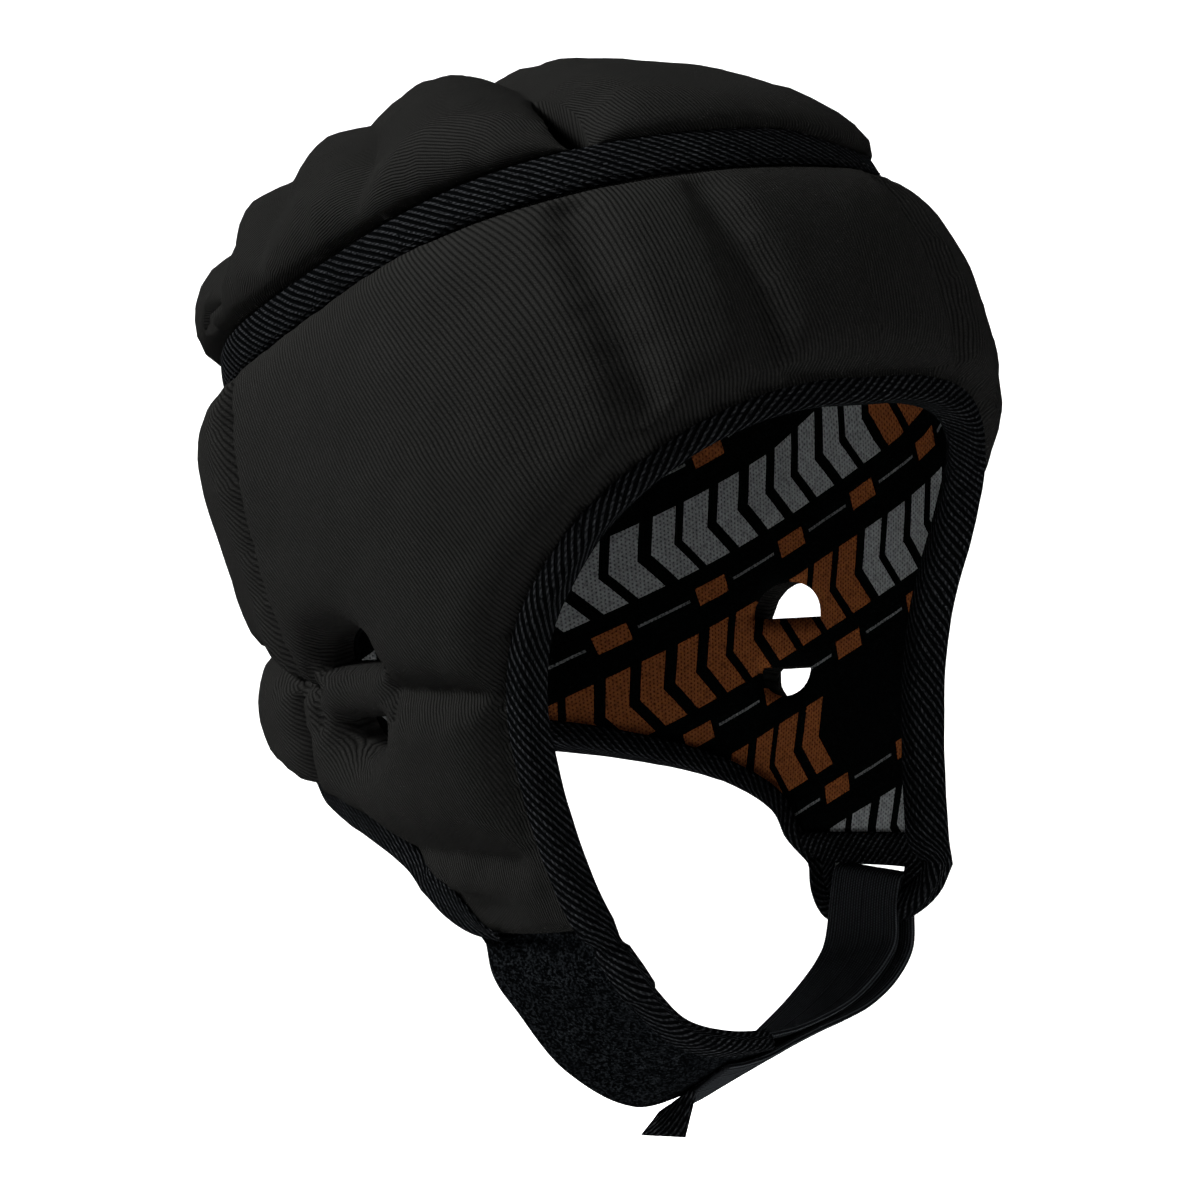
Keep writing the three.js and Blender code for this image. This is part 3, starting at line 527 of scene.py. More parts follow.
def spline(points, count):
    """Points of a smooth curve through the given points, evenly spread by knot."""
    points = np.asarray(points, float)
    padded = np.concatenate([[2 * points[0] - points[1]], points, [2 * points[-1] - points[-2]]])
    place = np.linspace(0, len(points) - 1, count)
    leg = np.minimum(place.astype(int), len(points) - 2)
    share = (place - leg)[:, None]
    before, start, end, after = (padded[leg + k] for k in range(4))
    slope_in = (end - before) / 2
    slope_out = (after - start) / 2
    cubic = 2 * start - 2 * end + slope_in + slope_out
    square = -3 * start + 3 * end - 2 * slope_in - slope_out
    return ((cubic * share + square) * share + slope_in) * share + start


def edge_curve(rows, stop_level, step):
    """An edge of the band down to a level, as evenly spread spots of its chart."""
    fine = spline(rows, 600)
    last = int(np.argmax(fine[:, 1] <= stop_level))
    share = (stop_level - fine[last - 1, 1]) / (fine[last, 1] - fine[last - 1, 1])
    end = fine[last - 1] + (fine[last] - fine[last - 1]) * share
    kept = np.concatenate([fine[:last], [end]])
    return resample(band_spot(kept[:, 0], kept[:, 1]), step)


def seam_curve(chart, shift, step):
    turn = np.linspace(0, 180, 241)
    return resample(chart.spot(turn, drop_at(seam_level(turn)) + shift), step)


def ear_hole(side, half_width, depth, step):
    flat_side = band_spot(EAR_TURN, EAR_LEVEL + side * EAR_BAR_HALF_HEIGHT)
    angle = np.linspace(0, math.pi, 40)
    across = -np.cos(angle) * half_width * DEGREE_LENGTH / EAR_DEGREE_LENGTH
    away = np.abs(np.sin(angle)) ** EAR_HOLE_POWER * depth * side
    points = flat_side + np.stack([across, -away], axis=1)
    return resample(np.concatenate([points, points[:1]]), step)[:-1]


def slit_loop(middle, direction, half_length, half_width, count=28):
    way = unit(np.asarray(direction, float))
    side = np.array([-way[1], way[0]])
    angle = np.linspace(0, 2 * math.pi, count, endpoint=False)
    long = np.cos(angle) * half_length
    wide = np.sign(np.sin(angle)) * np.abs(np.sin(angle)) ** SLIT_POINTEDNESS * half_width
    return np.asarray(middle, float) + np.outer(long, way) + np.outer(wide, side)


def closed_line(loop):
    return np.concatenate([loop, loop[:1]])


# Padding, and the step at which its lines are followed
LINE_STEP = 2.5
VALLEY_POWER = 1.7
Limit = namedtuple("Limit", "line floor depth flat round profile slope")


def held_at(line, floor, flat, width, profile="pillow", slope=0):
    """A line where the pad has a set thickness, which may grow with the distance from it."""
    return Limit(line, floor, None, flat, width, profile, slope)


def sewn_down(line, depth, flat, width, profile="valley"):
    """A line where the pad is sewn down by a depth."""
    return Limit(line, None, depth, flat, width, profile, 0)


def line_distance(line, points):
    """Distance of each point to a line, and the length along the line of its nearest place."""
    lengths = lengths_along(line)
    best = np.full(len(points), np.inf)
    along = np.zeros(len(points))
    for start, end, before in zip(line[:-1], line[1:], lengths[:-1]):
        leg = end - start
        long = np.linalg.norm(leg)
        share = np.clip((points - start) @ leg / max(long * long, 1e-9), 0, 1)
        gap = np.linalg.norm(points - start - share[:, None] * leg, axis=1)
        nearer = gap < best
        best[nearer] = gap[nearer]
        along[nearer] = before + share[nearer] * long
    return best, along


def roll_angle(share):
    """Angle round a lobe's edge, from where it rolls under to where it is level."""
    return (math.pi / 2 + ROLL_UNDER) * share - ROLL_UNDER


def roll_height(share):
    """Share of a lobe's height along that rolled edge."""
    low = math.sin(ROLL_UNDER)
    return (np.sin(roll_angle(share)) + low) / (1 + low)


PROFILES = {
    "pillow": lambda share: np.sqrt(1 - (1 - share) ** 2),
    "valley": lambda share: 1 - (1 - share) ** VALLEY_POWER,
    "ledge": lambda share: share * share * (3 - 2 * share),
    "roll": roll_height,
}


def rolled_out(spots, seam, overhang):
    """Spots of the crown moved outwards where its lobes bulge over the tape, most at the front."""
    line = CrownChart.place(resample(seam, LINE_STEP))
    distance, _ = line_distance(line, CrownChart.place(spots))
    share = np.clip((distance - CROWN_TAPE_WIDTH - BOUND_STRIP) / CROWN_RIM_ROUND, 0, 1)
    above_tape = distance > CROWN_TAPE_WIDTH
    front = smoothstep(-spots[:, 1], *OVERHANG_FORWARDS)
    front = front * smoothstep(spots[:, 0], *OVERHANG_OUTWARDS)
    bulge = CROWN_RIM_ROUND * (share - 1 + np.cos(roll_angle(share))) * above_tape
    fuller = 1 + OVERHANG_ROLL * front * (overhang > 0)
    sag = overhang * front * (1 - share) ** 2 * above_tape
    bulge = np.where(bulge > 0, bulge * fuller, bulge) + sag
    return spots * (1 + bulge / np.maximum(np.linalg.norm(spots, axis=1), 1))[:, None]


def pucker(along, seed):
    """Waves that a row of stitches leaves in the cloth beside it."""
    return sum(
        share * np.sin(2 * math.pi * along / length + phase * seed)
        for length, phase, share in PUCKER_WAVES)


def pad_thickness(chart, spots, full, limits):
    """Thickness of a pad that is full away from its lines and held down at them."""
    points = chart.place(spots)
    thickness = full.copy()
    for seed, limit in enumerate(limits):
        line = chart.place(resample(limit.line, LINE_STEP))
        reach = (limit.flat + limit.round) * PUCKER_REACH
        low, high = line.min(axis=0) - reach, line.max(axis=0) + reach
        near = np.all((points > low) & (points < high), axis=1)
        distance, along = line_distance(line, points[near])
        height = EDGE_PUCKER if limit.depth is None else CHANNEL_PUCKER
        width = limit.round * (1 + height * pucker(along, seed))
        share = np.clip((distance - limit.flat) / width, 0, 1)
        if limit.depth is not None:
            floor = full[near] - limit.depth
        else:
            floor = limit.floor(spots[near]) if callable(limit.floor) else limit.floor
            floor = floor + limit.slope * np.minimum(distance, limit.flat)
        wanted = floor + np.maximum(full[near] - floor, 0) * PROFILES[limit.profile](share)
        soft = SEAM_SOFTNESS * (1 - share)
        held = thickness[near]
        overlap = np.maximum(soft - np.abs(held - wanted), 0)
        blend = overlap * overlap / (4 * np.maximum(soft, 1e-6))
        thickness[near] = np.minimum(held, wanted) - blend
    return thickness


def swell(points, size, seed):
    """Gentle noise over the head, about one high."""
    shift = Vector([seed * part for part in SWELL_SHIFT])
    return np.array([noise.noise(Vector(p) / size + shift) for p in points])


def band_fullness(spots, thickness):
    """Full thickness of the band: slimmer at the brow, nape and cheeks and round the ears."""
    turn = spots[:, 0] / DEGREE_LENGTH
    level = BandChart.place(spots)[:, 2]
    front = BAND_FRONT_SLIMMING * (1 - smoothstep(turn, *BAND_FRONT_TURNS))
    high = smoothstep(level, *BAND_REAR_LEVELS)
    slope = -BAND_NAPE_SLIMMING + (BAND_REAR_EXTRA + BAND_NAPE_SLIMMING) * high
    nape = BAND_NAPE_SLIMMING * smoothstep(-level, *NAPE_DEPTHS)
    rear = smoothstep(turn, *BAND_REAR_TURNS) * (slope + nape)
    cheek = CHEEK_SLIMMING * smoothstep(-level, *CHEEK_DEPTHS)
    off_ear = np.hypot((turn - EAR_TURN) * EAR_DEGREE_LENGTH, level - EAR_LEVEL) / EAR_DIP_REACH
    return thickness - front + rear - cheek - EAR_DIP * np.exp(-off_ear * off_ear)


def crown_fullness(spots, thickness):
    """Full thickness of the crown: slimmer in front, fuller behind and over its side lobes."""
    along = CrownChart.place(spots)[:, 1]
    rear = CROWN_REAR_EXTRA * smoothstep(along, 0, HEAD_BACK)
    across, down = np.abs(spots[:, 0]) - CROWN_SIDE_SPOT[0], spots[:, 1] - CROWN_SIDE_SPOT[1]
    off_side = np.hypot(across, down) / CROWN_SIDE_REACH
    side = CROWN_SIDE_EXTRA * np.exp(-off_side * off_side)
    return thickness + rear + side - CROWN_FRONT_SLIMMING * smoothstep(-along, *CROWN_FRONT_REACH)


# Triangles over a chart: spacing of the spots along its lines, beside them and over the field,
# and the share of it that is kept clear round each spot
CHANNEL_STEP = 1.6
ROW_SPACING = 0.9
LEAST_ROW_STEP = 1.5
ROW_CLEARANCE = 0.6
FIELD_CLEARANCE = 0.62
FIELD_STIR = 0.05


def inside_loops(spots, loops):
    """Whether each spot lies inside an odd number of the loops."""
    inside = np.zeros(len(spots), bool)
    for loop in loops:
        for (ax, ay), (bx, by) in zip(loop, np.roll(loop, -1, axis=0)):
            crossing = (ay > spots[:, 1]) != (by > spots[:, 1])
            if crossing.any():
                edge = ax + (bx - ax) * (spots[:, 1] - ay) / (by - ay if by != ay else 1)
                inside ^= crossing & (spots[:, 0] < edge)
    return inside


class SpotField:
    """Spots of a chart region that keep clear of each other."""

    CELL = 2.0

    def __init__(self, loops):
        self.loops = loops
        self.spots = []
        self.cells = {}
        for loop in loops:
            for spot in loop:
                self.keep(spot)

    def keep(self, spot):
        cell = (int(spot[0] // self.CELL), int(spot[1] // self.CELL))
        self.cells.setdefault(cell, []).append(len(self.spots))
        self.spots.append((float(spot[0]), float(spot[1])))

    def is_clear(self, spot, clearance):
        across, down = int(spot[0] // self.CELL), int(spot[1] // self.CELL)
        for i in (across - 1, across, across + 1):
            for j in (down - 1, down, down + 1):
                for index in self.cells.get((i, j), ()):
                    x, y = self.spots[index]
                    if math.hypot(x - spot[0], y - spot[1]) < clearance:
                        return False
        return True

    def offer(self, spots, clearance):
        for spot in spots[inside_loops(spots, self.loops)]:
            if self.is_clear(spot, clearance):
                self.keep(spot)


def beside(line, distance):
    along = np.gradient(line, axis=0)
    side = unit(np.stack([-along[:, 1], along[:, 0]], axis=1)) * distance
    return np.concatenate([line + side, line - side])


def triangulated(loops, lines, rows, step):
    """Spots and triangles of a region: its loops, rows beside its lines, and a staggered field."""
    field = SpotField(loops)
    for limit in lines:
        if limit.depth is not None:
            field.offer(resample(limit.line, CHANNEL_STEP), CHANNEL_STEP / 2)
    for row in rows:
        spacing = min(max(row * ROW_SPACING, LEAST_ROW_STEP), step)
        for limit in lines:
            line = resample(limit.line, spacing)
            field.offer(beside(line, limit.flat + row), spacing * ROW_CLEARANCE)
    low, high = loops[0].min(axis=0), loops[0].max(axis=0)
    row_step = step * math.sqrt(3) / 2
    for index in range(1, int((high[1] - low[1]) / row_step) + 1):
        across = np.arange(low[0] + (index % 2) * step / 2, high[0], step)
        stirred = low[1] + index * row_step + FIELD_STIR * np.sin(across)
        clearance = min(step * FIELD_CLEARANCE, SpotField.CELL)
        field.offer(np.stack([across, stirred], axis=1), clearance)
    edges = []
    first = 0
    for loop in loops:
        edges += [(first + k, first + (k + 1) % len(loop)) for k in range(len(loop))]
        first += len(loop)
    spots, _, faces, *_ = delaunay_2d_cdt([Vector(s) for s in field.spots], edges, [], 1, 1e-5)
    spots = np.array([tuple(s) for s in spots])
    faces = np.array([tuple(f) for f in faces])
    return spots, faces[inside_loops(spots[faces].mean(axis=1), loops)]


def half_shell(chart, spots, faces, outer, inner, outer_spots):
    """Points and faces of a shell over half the head, open only along the midline."""
    count = len(spots)
    points = np.concatenate([lifted(chart, outer_spots, outer), lifted(chart, spots, inner)])
    a, b, c = (points[faces[:, k] + count] for k in range(3))
    facing = np.sum(np.cross(b - a, c - a) * chart_normal(chart, spots[faces[:, 0]]), axis=1)
    faces = np.where(facing[:, None] < 0, faces[:, ::-1], faces)
    edges = np.concatenate([faces[:, [0, 1]], faces[:, [1, 2]], faces[:, [2, 0]]])
    taken = {tuple(edge) for edge in edges.tolist()}
    all_faces = faces.tolist() + (faces[:, ::-1] + count).tolist()
    for p, q in edges.tolist():
        on_midline = points[p, 0] == 0 and points[q, 0] == 0
        if (q, p) not in taken and not on_midline:
            all_faces.append([q, p, p + count, q + count])
    return points, all_faces


Piece = namedtuple("Piece", "points faces corner_uv")


def joined(*pieces):
    points, faces, corner_uv = [], [], []
    first = 0
    for piece in pieces:
        points.append(piece.points)
        faces += [[first + k for k in face] for face in piece.faces]
        corner_uv.append(piece.corner_uv)
        first += len(piece.points)
    return Piece(np.concatenate(points), faces, np.concatenate(corner_uv))


def mirrored(piece):
    faces = [face[::-1] for face in piece.faces]
    at = 0
    corner_uv = []
    for face in piece.faces:
        corner_uv.append(piece.corner_uv[at:at + len(face)][::-1] * (-1, 1))
        at += len(face)
    return Piece(piece.points * (-1, 1, 1), faces, np.concatenate(corner_uv))


def shell_piece(chart, spots, faces, outer, inner, uv, outer_spots=None):
    outer_spots = spots if outer_spots is None else outer_spots
    points, faces = half_shell(chart, spots, faces, outer, inner, outer_spots)
    both = np.concatenate([uv, uv])
    return Piece(points, faces, both[np.concatenate([np.asarray(f) for f in faces])])


# Sweeps
def swept(sections, closed=False):
    """A closed solid through sections of the same corners, with lengths along and around as UV."""
    count, corners = sections.shape[:2]
    middles = sections.mean(axis=1)
    ring = np.concatenate([middles, middles[:1]]) if closed else middles
    along = lengths_along(ring)
    widest = sections[count // 2]
    around = lengths_along(np.concatenate([widest, widest[:1]]))
    faces, corner_uv = [], []
    for i in range(count if closed else count - 1):
        j = (i + 1) % count
        for k in range(corners):
            n = (k + 1) % corners
            faces.append([i * corners + k, i * corners + n, j * corners + n, j * corners + k])
            corner_uv += [
                (along[i], around[k]), (along[i], around[k + 1]),
                (along[i + 1], around[k + 1]), (along[i + 1], around[k]),
            ]
    if not closed:
        last = (count - 1) * corners
        faces.append(list(range(corners))[::-1])
        faces.append([last + k for k in range(corners)])
        corner_uv += [(along[0], around[k]) for k in reversed(range(corners))]
        corner_uv += [(along[-1], around[k]) for k in range(corners)]
    points = sections.reshape(-1, 3)
    piece = Piece(points, faces, np.array(corner_uv))
    return piece if signed_volume(piece) > 0 else turned(piece)


def signed_volume(piece):
    total = 0.0
    for face in piece.faces:
        first = piece.points[face[0]]
        for p, q in zip(face[1:-1], face[2:]):
            total += first @ np.cross(piece.points[p], piece.points[q])
    return total


def turned(piece):
    back = mirrored(piece)
    return Piece(piece.points, back.faces, back.corner_uv * (-1, 1))


def tape_section(way, thickness):
    """Outline of a tape that follows a flat way, thinner at its two edges."""
    along = unit(np.gradient(way, axis=0))
    side = np.stack([-along[:, 1], along[:, 0]], axis=1)
    half = np.full(len(way), thickness / 2)
    half[[0, -1]] *= TAPE_EDGE_THINNESS
    return np.concatenate([way + side * half[:, None], (way - side * half[:, None])[::-1]])


def folded_tape(wall, cover=TAPE_COVER):
    """Section of a binding round an edge of the given wall thickness, as distances in and out."""
    half = TAPE_THICKNESS / 2
    top = wall + TAPE_OUTER_GAP + half
    bottom = -TAPE_INNER_GAP - half
    front = -GAP - half
    corner = min(TAPE_CORNER, (top - bottom) / TAPE_CORNERS_IN_WALL)
    turn = np.linspace(0, math.pi / 2, 6)
    near, far = np.sin(turn) * corner, np.cos(turn) * corner
    lip, inner_lip = (
        np.linspace(reach, front + corner, 5)[:-1] for reach in (cover, min(cover, TAPE_COVER)))
    web = np.linspace(top - corner, bottom + corner, 5)[1:-1]
    upper = np.stack([front + corner - near, top - corner + far], axis=1)
    lower = np.stack([front + corner - far, bottom + corner - near], axis=1)
    way = np.concatenate([
        np.stack([lip, np.full(len(lip), top)], axis=1), upper,
        np.stack([np.full(len(web), front), web], axis=1), lower,
        np.stack([inner_lip[::-1], np.full(len(lip), bottom)], axis=1),
    ])
    return tape_section(way, TAPE_THICKNESS)


def in_axes(profile, origin, into, out):
    return origin + np.outer(profile[:, 0], into) + np.outer(profile[:, 1], out)


def edge_sections(line, hand, wall, cover, lift, seed):
    """Sections of a folded tape along an edge of the band, slightly slack."""
    place = BandChart.place(line)
    out = chart_normal(BandChart, line)
    into = unit(np.cross(np.gradient(place, axis=0), out)) * hand
    slack = sum(swell(place, size, seed + step) * height for size, step, height in TAPE_SLACK)
    place = place + out * lift[:, None] - into * (TAPE_PLAY_INWARDS * slack)[:, None]
    return np.stack([
        in_axes(folded_tape(w, c) * (1, 1 + TAPE_PLAY_OUTWARDS * s), p, i, o)
        for p, i, o, s, w, c in zip(place, into, out, slack, wall, cover)
    ])


def mirror_sections(sections):
    return sections * (-1, 1, 1)


# Chin loop
LOOP_COUNT = 400
LOOP_PROBE = 0.004
LOOP_FRONT = spline([row[0] for row in CHIN_LOOP], LOOP_COUNT)
LOOP_REAR = spline([row[1] for row in CHIN_LOOP], LOOP_COUNT)


def on_curve(curve, share):
    place = np.clip(share, 0, 1) * (len(curve) - 1)
    return np.array([np.interp(place, np.arange(len(curve)), curve[:, k]) for k in range(3)])


def loop_point(share, across, out):
    """A point by its share of the chin loop's length, share of its width, and distance outwards."""
    front = on_curve(LOOP_FRONT, share)
    width = on_curve(LOOP_REAR, share) - front
    ahead, behind = min(share + LOOP_PROBE, 1), max(share - LOOP_PROBE, 0)
    front_way = unit(on_curve(LOOP_FRONT, ahead) - on_curve(LOOP_FRONT, behind))
    rear_way = unit(on_curve(LOOP_REAR, ahead) - on_curve(LOOP_REAR, behind))
    normal = unit(np.cross(width, front_way * (1 - across) + rear_way * across))
    return front + width * across + normal * out


def strap_flap_axes():
    """Middle of the strap's slot, and its directions to the rear, outwards and down."""
    middle = loop_point(1, 0.5, 0)
    rear = unit(loop_point(1, 1, 0) - loop_point(1, 0, 0))
    out = loop_point(1, 0.5, 1) - middle
    return middle, rear, out, unit(np.cross(rear, out))


def strap_stations():
    """Front and rear edges of the strap's middle face, from its free end to its sewn end."""
    middle, rear, out, down = strap_flap_axes()
    half_width = np.linalg.norm(LOOP_REAR[-1] - LOOP_FRONT[-1]) / 2
    fronts, rears = [], []

    def along_loop(rows):
        for share, lift in rows:
            inset = STRAP_INSET_ON_TAB * (1 - smoothstep(share, *STRAP_LEAVES_TAB))
            fronts.append(loop_point(share, inset, lift))
            rears.append(loop_point(share, 1, lift))

    along_loop(OUTER_PLY)
    for drop, lift in SLOT_TURN:
        centre = middle + down * drop + out * lift
        fronts.append(centre - rear * half_width + down * SLOT_FRONT_DROP)
        rears.append(centre + rear * half_width - down * SLOT_REAR_RISE)
    along_loop(INNER_PLY)
    return np.array(fronts), np.array(rears)


def rounded_edges(across, edge_share, thinness):
    """Share of a strip's thickness at places across it, thinner towards its two edges."""
    edge = np.clip(np.minimum(across, 1 - across) / edge_share, 0, 1)
    return thinness + (1 - thinness) * PROFILES["pillow"](edge)


def ribbon(fronts, rears, thickness, grooves):
    """A woven strip between two edges, with grooves along it and rounded edges."""
    edge = WEBBING_EDGE_SHARE
    near = WEBBING_CORNER_SHARE * edge
    across = np.concatenate([[0, near], np.linspace(edge, 1 - edge, 25), [1 - near, 1]])
    middle_way = np.gradient((fronts + rears) / 2, axis=0)
    normal = unit(np.cross(rears - fronts, middle_way))
    groove = np.zeros(len(across))
    for place in grooves:
        groove = np.maximum(groove, np.exp(-((across - place) / GROOVE_WIDTH) ** 2))
    full = rounded_edges(across, edge, WEBBING_EDGE_THINNESS)
    half = thickness / 2 * (full - GROOVE_DEPTH * groove)
    sections = []
    for front, back, way in zip(fronts, rears, normal):
        line = front + np.outer(across, back - front)
        lift = np.outer(half, way)
        sections.append(np.concatenate([line + lift, (line - lift)[::-1]]))
    return swept(np.array(sections))


# Meshes and objects
def new_object(name, piece, material):
    """A smooth object of a piece, with its doubles merged and its cloth lengths as UV, in metres."""
    mesh = bpy.data.meshes.new(name)
    mesh.from_pydata((piece.points * MM).tolist(), [], piece.faces)
    layer = mesh.uv_layers.new(name=UV_NAME)
    layer.data.foreach_set("uv", np.ascontiguousarray(piece.corner_uv * MM, np.float32).ravel())
    shape = bmesh.new()
    shape.from_mesh(mesh)
    bmesh.ops.remove_doubles(shape, verts=shape.verts, dist=2e-6)
    shape.to_mesh(mesh)
    shape.free()
    mesh.shade_smooth()
    mesh.materials.append(material)
    obj = bpy.data.objects.new(name, mesh)
    bpy.context.scene.collection.objects.link(obj)
    return obj


def settle(obj, slot, *nodes):
    """Tell the frame which body carries a piece and the node that it stands for; its slot is not
    used.
    """
    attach(obj, "root")
    if nodes:
        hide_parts(*nodes)


# Materials
class Value:
    """A shader socket whose arithmetic adds Math nodes."""

    def __init__(self, finish, socket):
        self.finish = finish
        self.socket = socket

    def math(self, operation, *values):
        return self.finish.node("ShaderNodeMath", {"operation": operation}, list(values))

    def __add__(self, other):
        return self.math("ADD", self, other)

    def __sub__(self, other):
        return self.math("SUBTRACT", self, other)

    def __rsub__(self, other):
        return self.math("SUBTRACT", other, self)

    def __mul__(self, other):
        return self.math("MULTIPLY", self, other)

    def __truediv__(self, other):
        return self.math("DIVIDE", self, other)

    __radd__ = __add__
    __rmul__ = __mul__

    def floor(self):
        return self.math("FLOOR", self)

    def fract(self):
        return self.math("FRACT", self)

    def size(self):
        return self.math("ABSOLUTE", self)

    def wave(self):
        """One sine wave for each unit, from 0 to 1."""
        return self.math("SINE", self * (2 * math.pi)) * 0.5 + 0.5

    def above(self, other):
        return self.math("GREATER_THAN", self, other)

    def below(self, other):
        return self.math("LESS_THAN", self, other)

    def between(self, low, high):
        return self.above(low) * self.below(high)

    def rise(self, low, high):
        return self.finish.node(
            "ShaderNodeMapRange", {"interpolation_type": "SMOOTHSTEP"},
            {"Value": self, "From Min": low, "From Max": high})


class Finish:
    """A material under construction."""

    def __init__(self, name, specular=0.0):
        self.material = bpy.data.materials.new(name)
        self.material.use_nodes = True
        self.tree = self.material.node_tree
        self.shader = self.tree.nodes["Principled BSDF"]
        self.shader.inputs["Specular IOR Level"].default_value = specular

    def node(self, kind, settings=None, sockets=None, output=0):
        made = self.tree.nodes.new(kind)
        for key, value in (settings or {}).items():
            setattr(made, key, value)
        pairs = sockets.items() if isinstance(sockets, dict) else enumerate(sockets or [])
        for key, value in pairs:
            if isinstance(value, Value):
                self.tree.links.new(value.socket, made.inputs[key])
            else:
                made.inputs[key].default_value = value
        return Value(self, made.outputs[output])

    def cloth_axes(self):
        """The two lengths of the cloth's own UV map, in metres."""
        spot = self.node("ShaderNodeUVMap", {"uv_map": UV_NAME})
        split = self.node("ShaderNodeSeparateXYZ", None, [spot])
        return split, Value(self, split.socket.node.outputs[1])

    def object_spot(self):
        return self.node("ShaderNodeTexCoord", None, None, "Object")

    def noise(self, spot, scale, detail=2.0):
        return self.node(
            "ShaderNodeTexNoise", None, {"Vector": spot, "Scale": scale, "Detail": detail})

    def pair(self, x, y):
        return self.node("ShaderNodeCombineXYZ", None, [x, y, 0.0])

    def random(self, x, y):
        return self.node(
            "ShaderNodeTexWhiteNoise", {"noise_dimensions": "2D"}, {"Vector": self.pair(x, y)})

    def blend(self, share, first, second):
        def colour(value):
            return value if isinstance(value, Value) else (*value, 1.0)

        return self.node(
            "ShaderNodeMix", {"data_type": "RGBA"},
            {0: share, 6: colour(first), 7: colour(second)}, 2)

    def set(self, name, value):
        self.tree.links.new(value.socket, self.shader.inputs[name])

    def bump(self, height, depth, strength=1.0):
        normal = self.node(
            "ShaderNodeBump", None, {"Strength": strength, "Distance": depth, "Height": height})
        self.set("Normal", normal)


def finish_for(name, make):
    return bpy.data.materials.get(name) or make(name)


# Each finish makes its pattern from cloth lengths in metres and noise in cells to the metre
def knit_finish(name):
    """Ribbed jersey: fine ribs across the first axis of the cloth, with loops along each rib."""
    sizes, colours = settings()
    finish = Finish(name)
    across, along = finish.cloth_axes()
    spot = finish.object_spot()
    stray = finish.noise(spot, scale=60.0, detail=1.0) * 0.4
    rib = across / sizes.rib_pitch + stray
    ridge = (rib.fract() - 0.5).size() * 2.0
    raised = 1 - ridge * ridge
    loop_pitch = sizes.rib_pitch * 0.75
    loops = (along / loop_pitch + rib.floor() * 0.5).wave()
    fuzz = finish.noise(spot, scale=1400.0)
    height = raised * 0.75 + raised * loops * 0.2 + fuzz * 0.25
    patchy = finish.noise(spot, scale=28.0, detail=3.0)
    # Painted shade and light: darker in the rib valleys and lighter on the raised ribs and fuzz, as
    # the bump rises; the patches are random tone
    rib_shade_and_patches = raised * 1.05 + fuzz * 0.35 + patchy * 0.3 - 0.42
    finish.set("Base Color", finish.blend(rib_shade_and_patches, colours.knit_painted_shade, colours.knit))
    finish.set("Roughness", 0.84 + fuzz * 0.14)
    finish.bump(height, depth=0.0004, strength=0.9)
    return finish.material


# The lining's print. Spans are shares of a row's height, and pitches are in rows' heights
PRINT_SLOPE = math.radians(-20)
PRINT_STAGGER = 0.06
CHEVRON_SPAN = (0.05, 0.59)
CHEVRON_TIP = 0.32
CHEVRON_BEND = 0.5
CHEVRON_PITCH = 0.33
CHEVRON_WIDTH = 0.62
CHEVRON_WIDTH_SPREAD = 0.16
CHEVRONS_IN_GROUP = 4.0
BARE_GROUPS = 0.16
COPPER_GROUPS_FROM = 0.66
BAR_SPAN = (0.72, 0.86)
BAR_PITCH = 0.95
BAR_SHIFT = 0.37
BAR_LENGTH = 0.32
RULE_PLACE = 0.79
RULE_HALF_HEIGHT = 0.011
RULE_RUN = (0.4, 0.92)
RULE_STRENGTH = 0.5
MESH_PITCH = 0.0012


def lining_finish(name):
    """Dark mesh knit printed with rows of chevrons, bars and rules in grey and copper."""
    sizes, colours = settings()
    finish = Finish(name)
    u, v = finish.cloth_axes()
    along = u * math.cos(PRINT_SLOPE) - v * math.sin(PRINT_SLOPE)
    down = u * math.sin(PRINT_SLOPE) + v * math.cos(PRINT_SLOPE)
    row_place = down / sizes.print_row
    row = row_place.floor()
    inside = row_place.fract()
    run = along + finish.random(row, 3.0) * PRINT_STAGGER

    bent = (inside - CHEVRON_TIP).size() * (CHEVRON_BEND * sizes.print_row)
    place = (run + bent) / (sizes.print_row * CHEVRON_PITCH)
    group = (place.floor() / CHEVRONS_IN_GROUP + 0.01).floor()
    pick = finish.random(group, row)
    width = CHEVRON_WIDTH + finish.random(place.floor(), row + 40.0) * CHEVRON_WIDTH_SPREAD
    printed = inside.between(*CHEVRON_SPAN) * pick.above(BARE_GROUPS)
    chevrons = printed * place.fract().below(width)
    bar_run = (run / (sizes.print_row * BAR_PITCH) + BAR_SHIFT).fract()
    bars = inside.between(*BAR_SPAN) * bar_run.below(BAR_LENGTH)
    rule = (inside - RULE_PLACE).size().below(RULE_HALF_HEIGHT)
    rules = rule * bar_run.between(*RULE_RUN)

    hole_u = (u / MESH_PITCH).wave()
    hole_v = (v / MESH_PITCH + (u / MESH_PITCH).floor() * 0.5).wave()
    holes = (hole_u * hole_v).rise(low=0.3, high=0.8)
    spot = finish.object_spot()
    fuzz = finish.noise(spot, scale=900.0)
    cover = (0.5 + fuzz.rise(low=0.2, high=0.65) * 0.5) * (1 - holes * 0.6)
    copper = pick.above(COPPER_GROUPS_FROM)
    shade = finish.noise(spot, scale=700.0)
    cloth = finish.blend(shade, colours.lining_deep, colours.lining)
    ink = finish.blend(copper, colours.print_grey, colours.print_copper)
    cloth = finish.blend(chevrons * cover, cloth, ink)
    cloth = finish.blend(bars * cover, cloth, colours.print_copper)
    cloth = finish.blend(rules * cover * RULE_STRENGTH, cloth, colours.print_grey)
    finish.set("Base Color", cloth)
    finish.set("Roughness", 0.75 + holes * 0.2)
    finish.bump(fuzz * 0.4 - holes, depth=0.0003, strength=0.6)
    return finish.material


TWILL_STEEPNESS = 1.4
TWILL_THREAD_PITCH = 0.0011


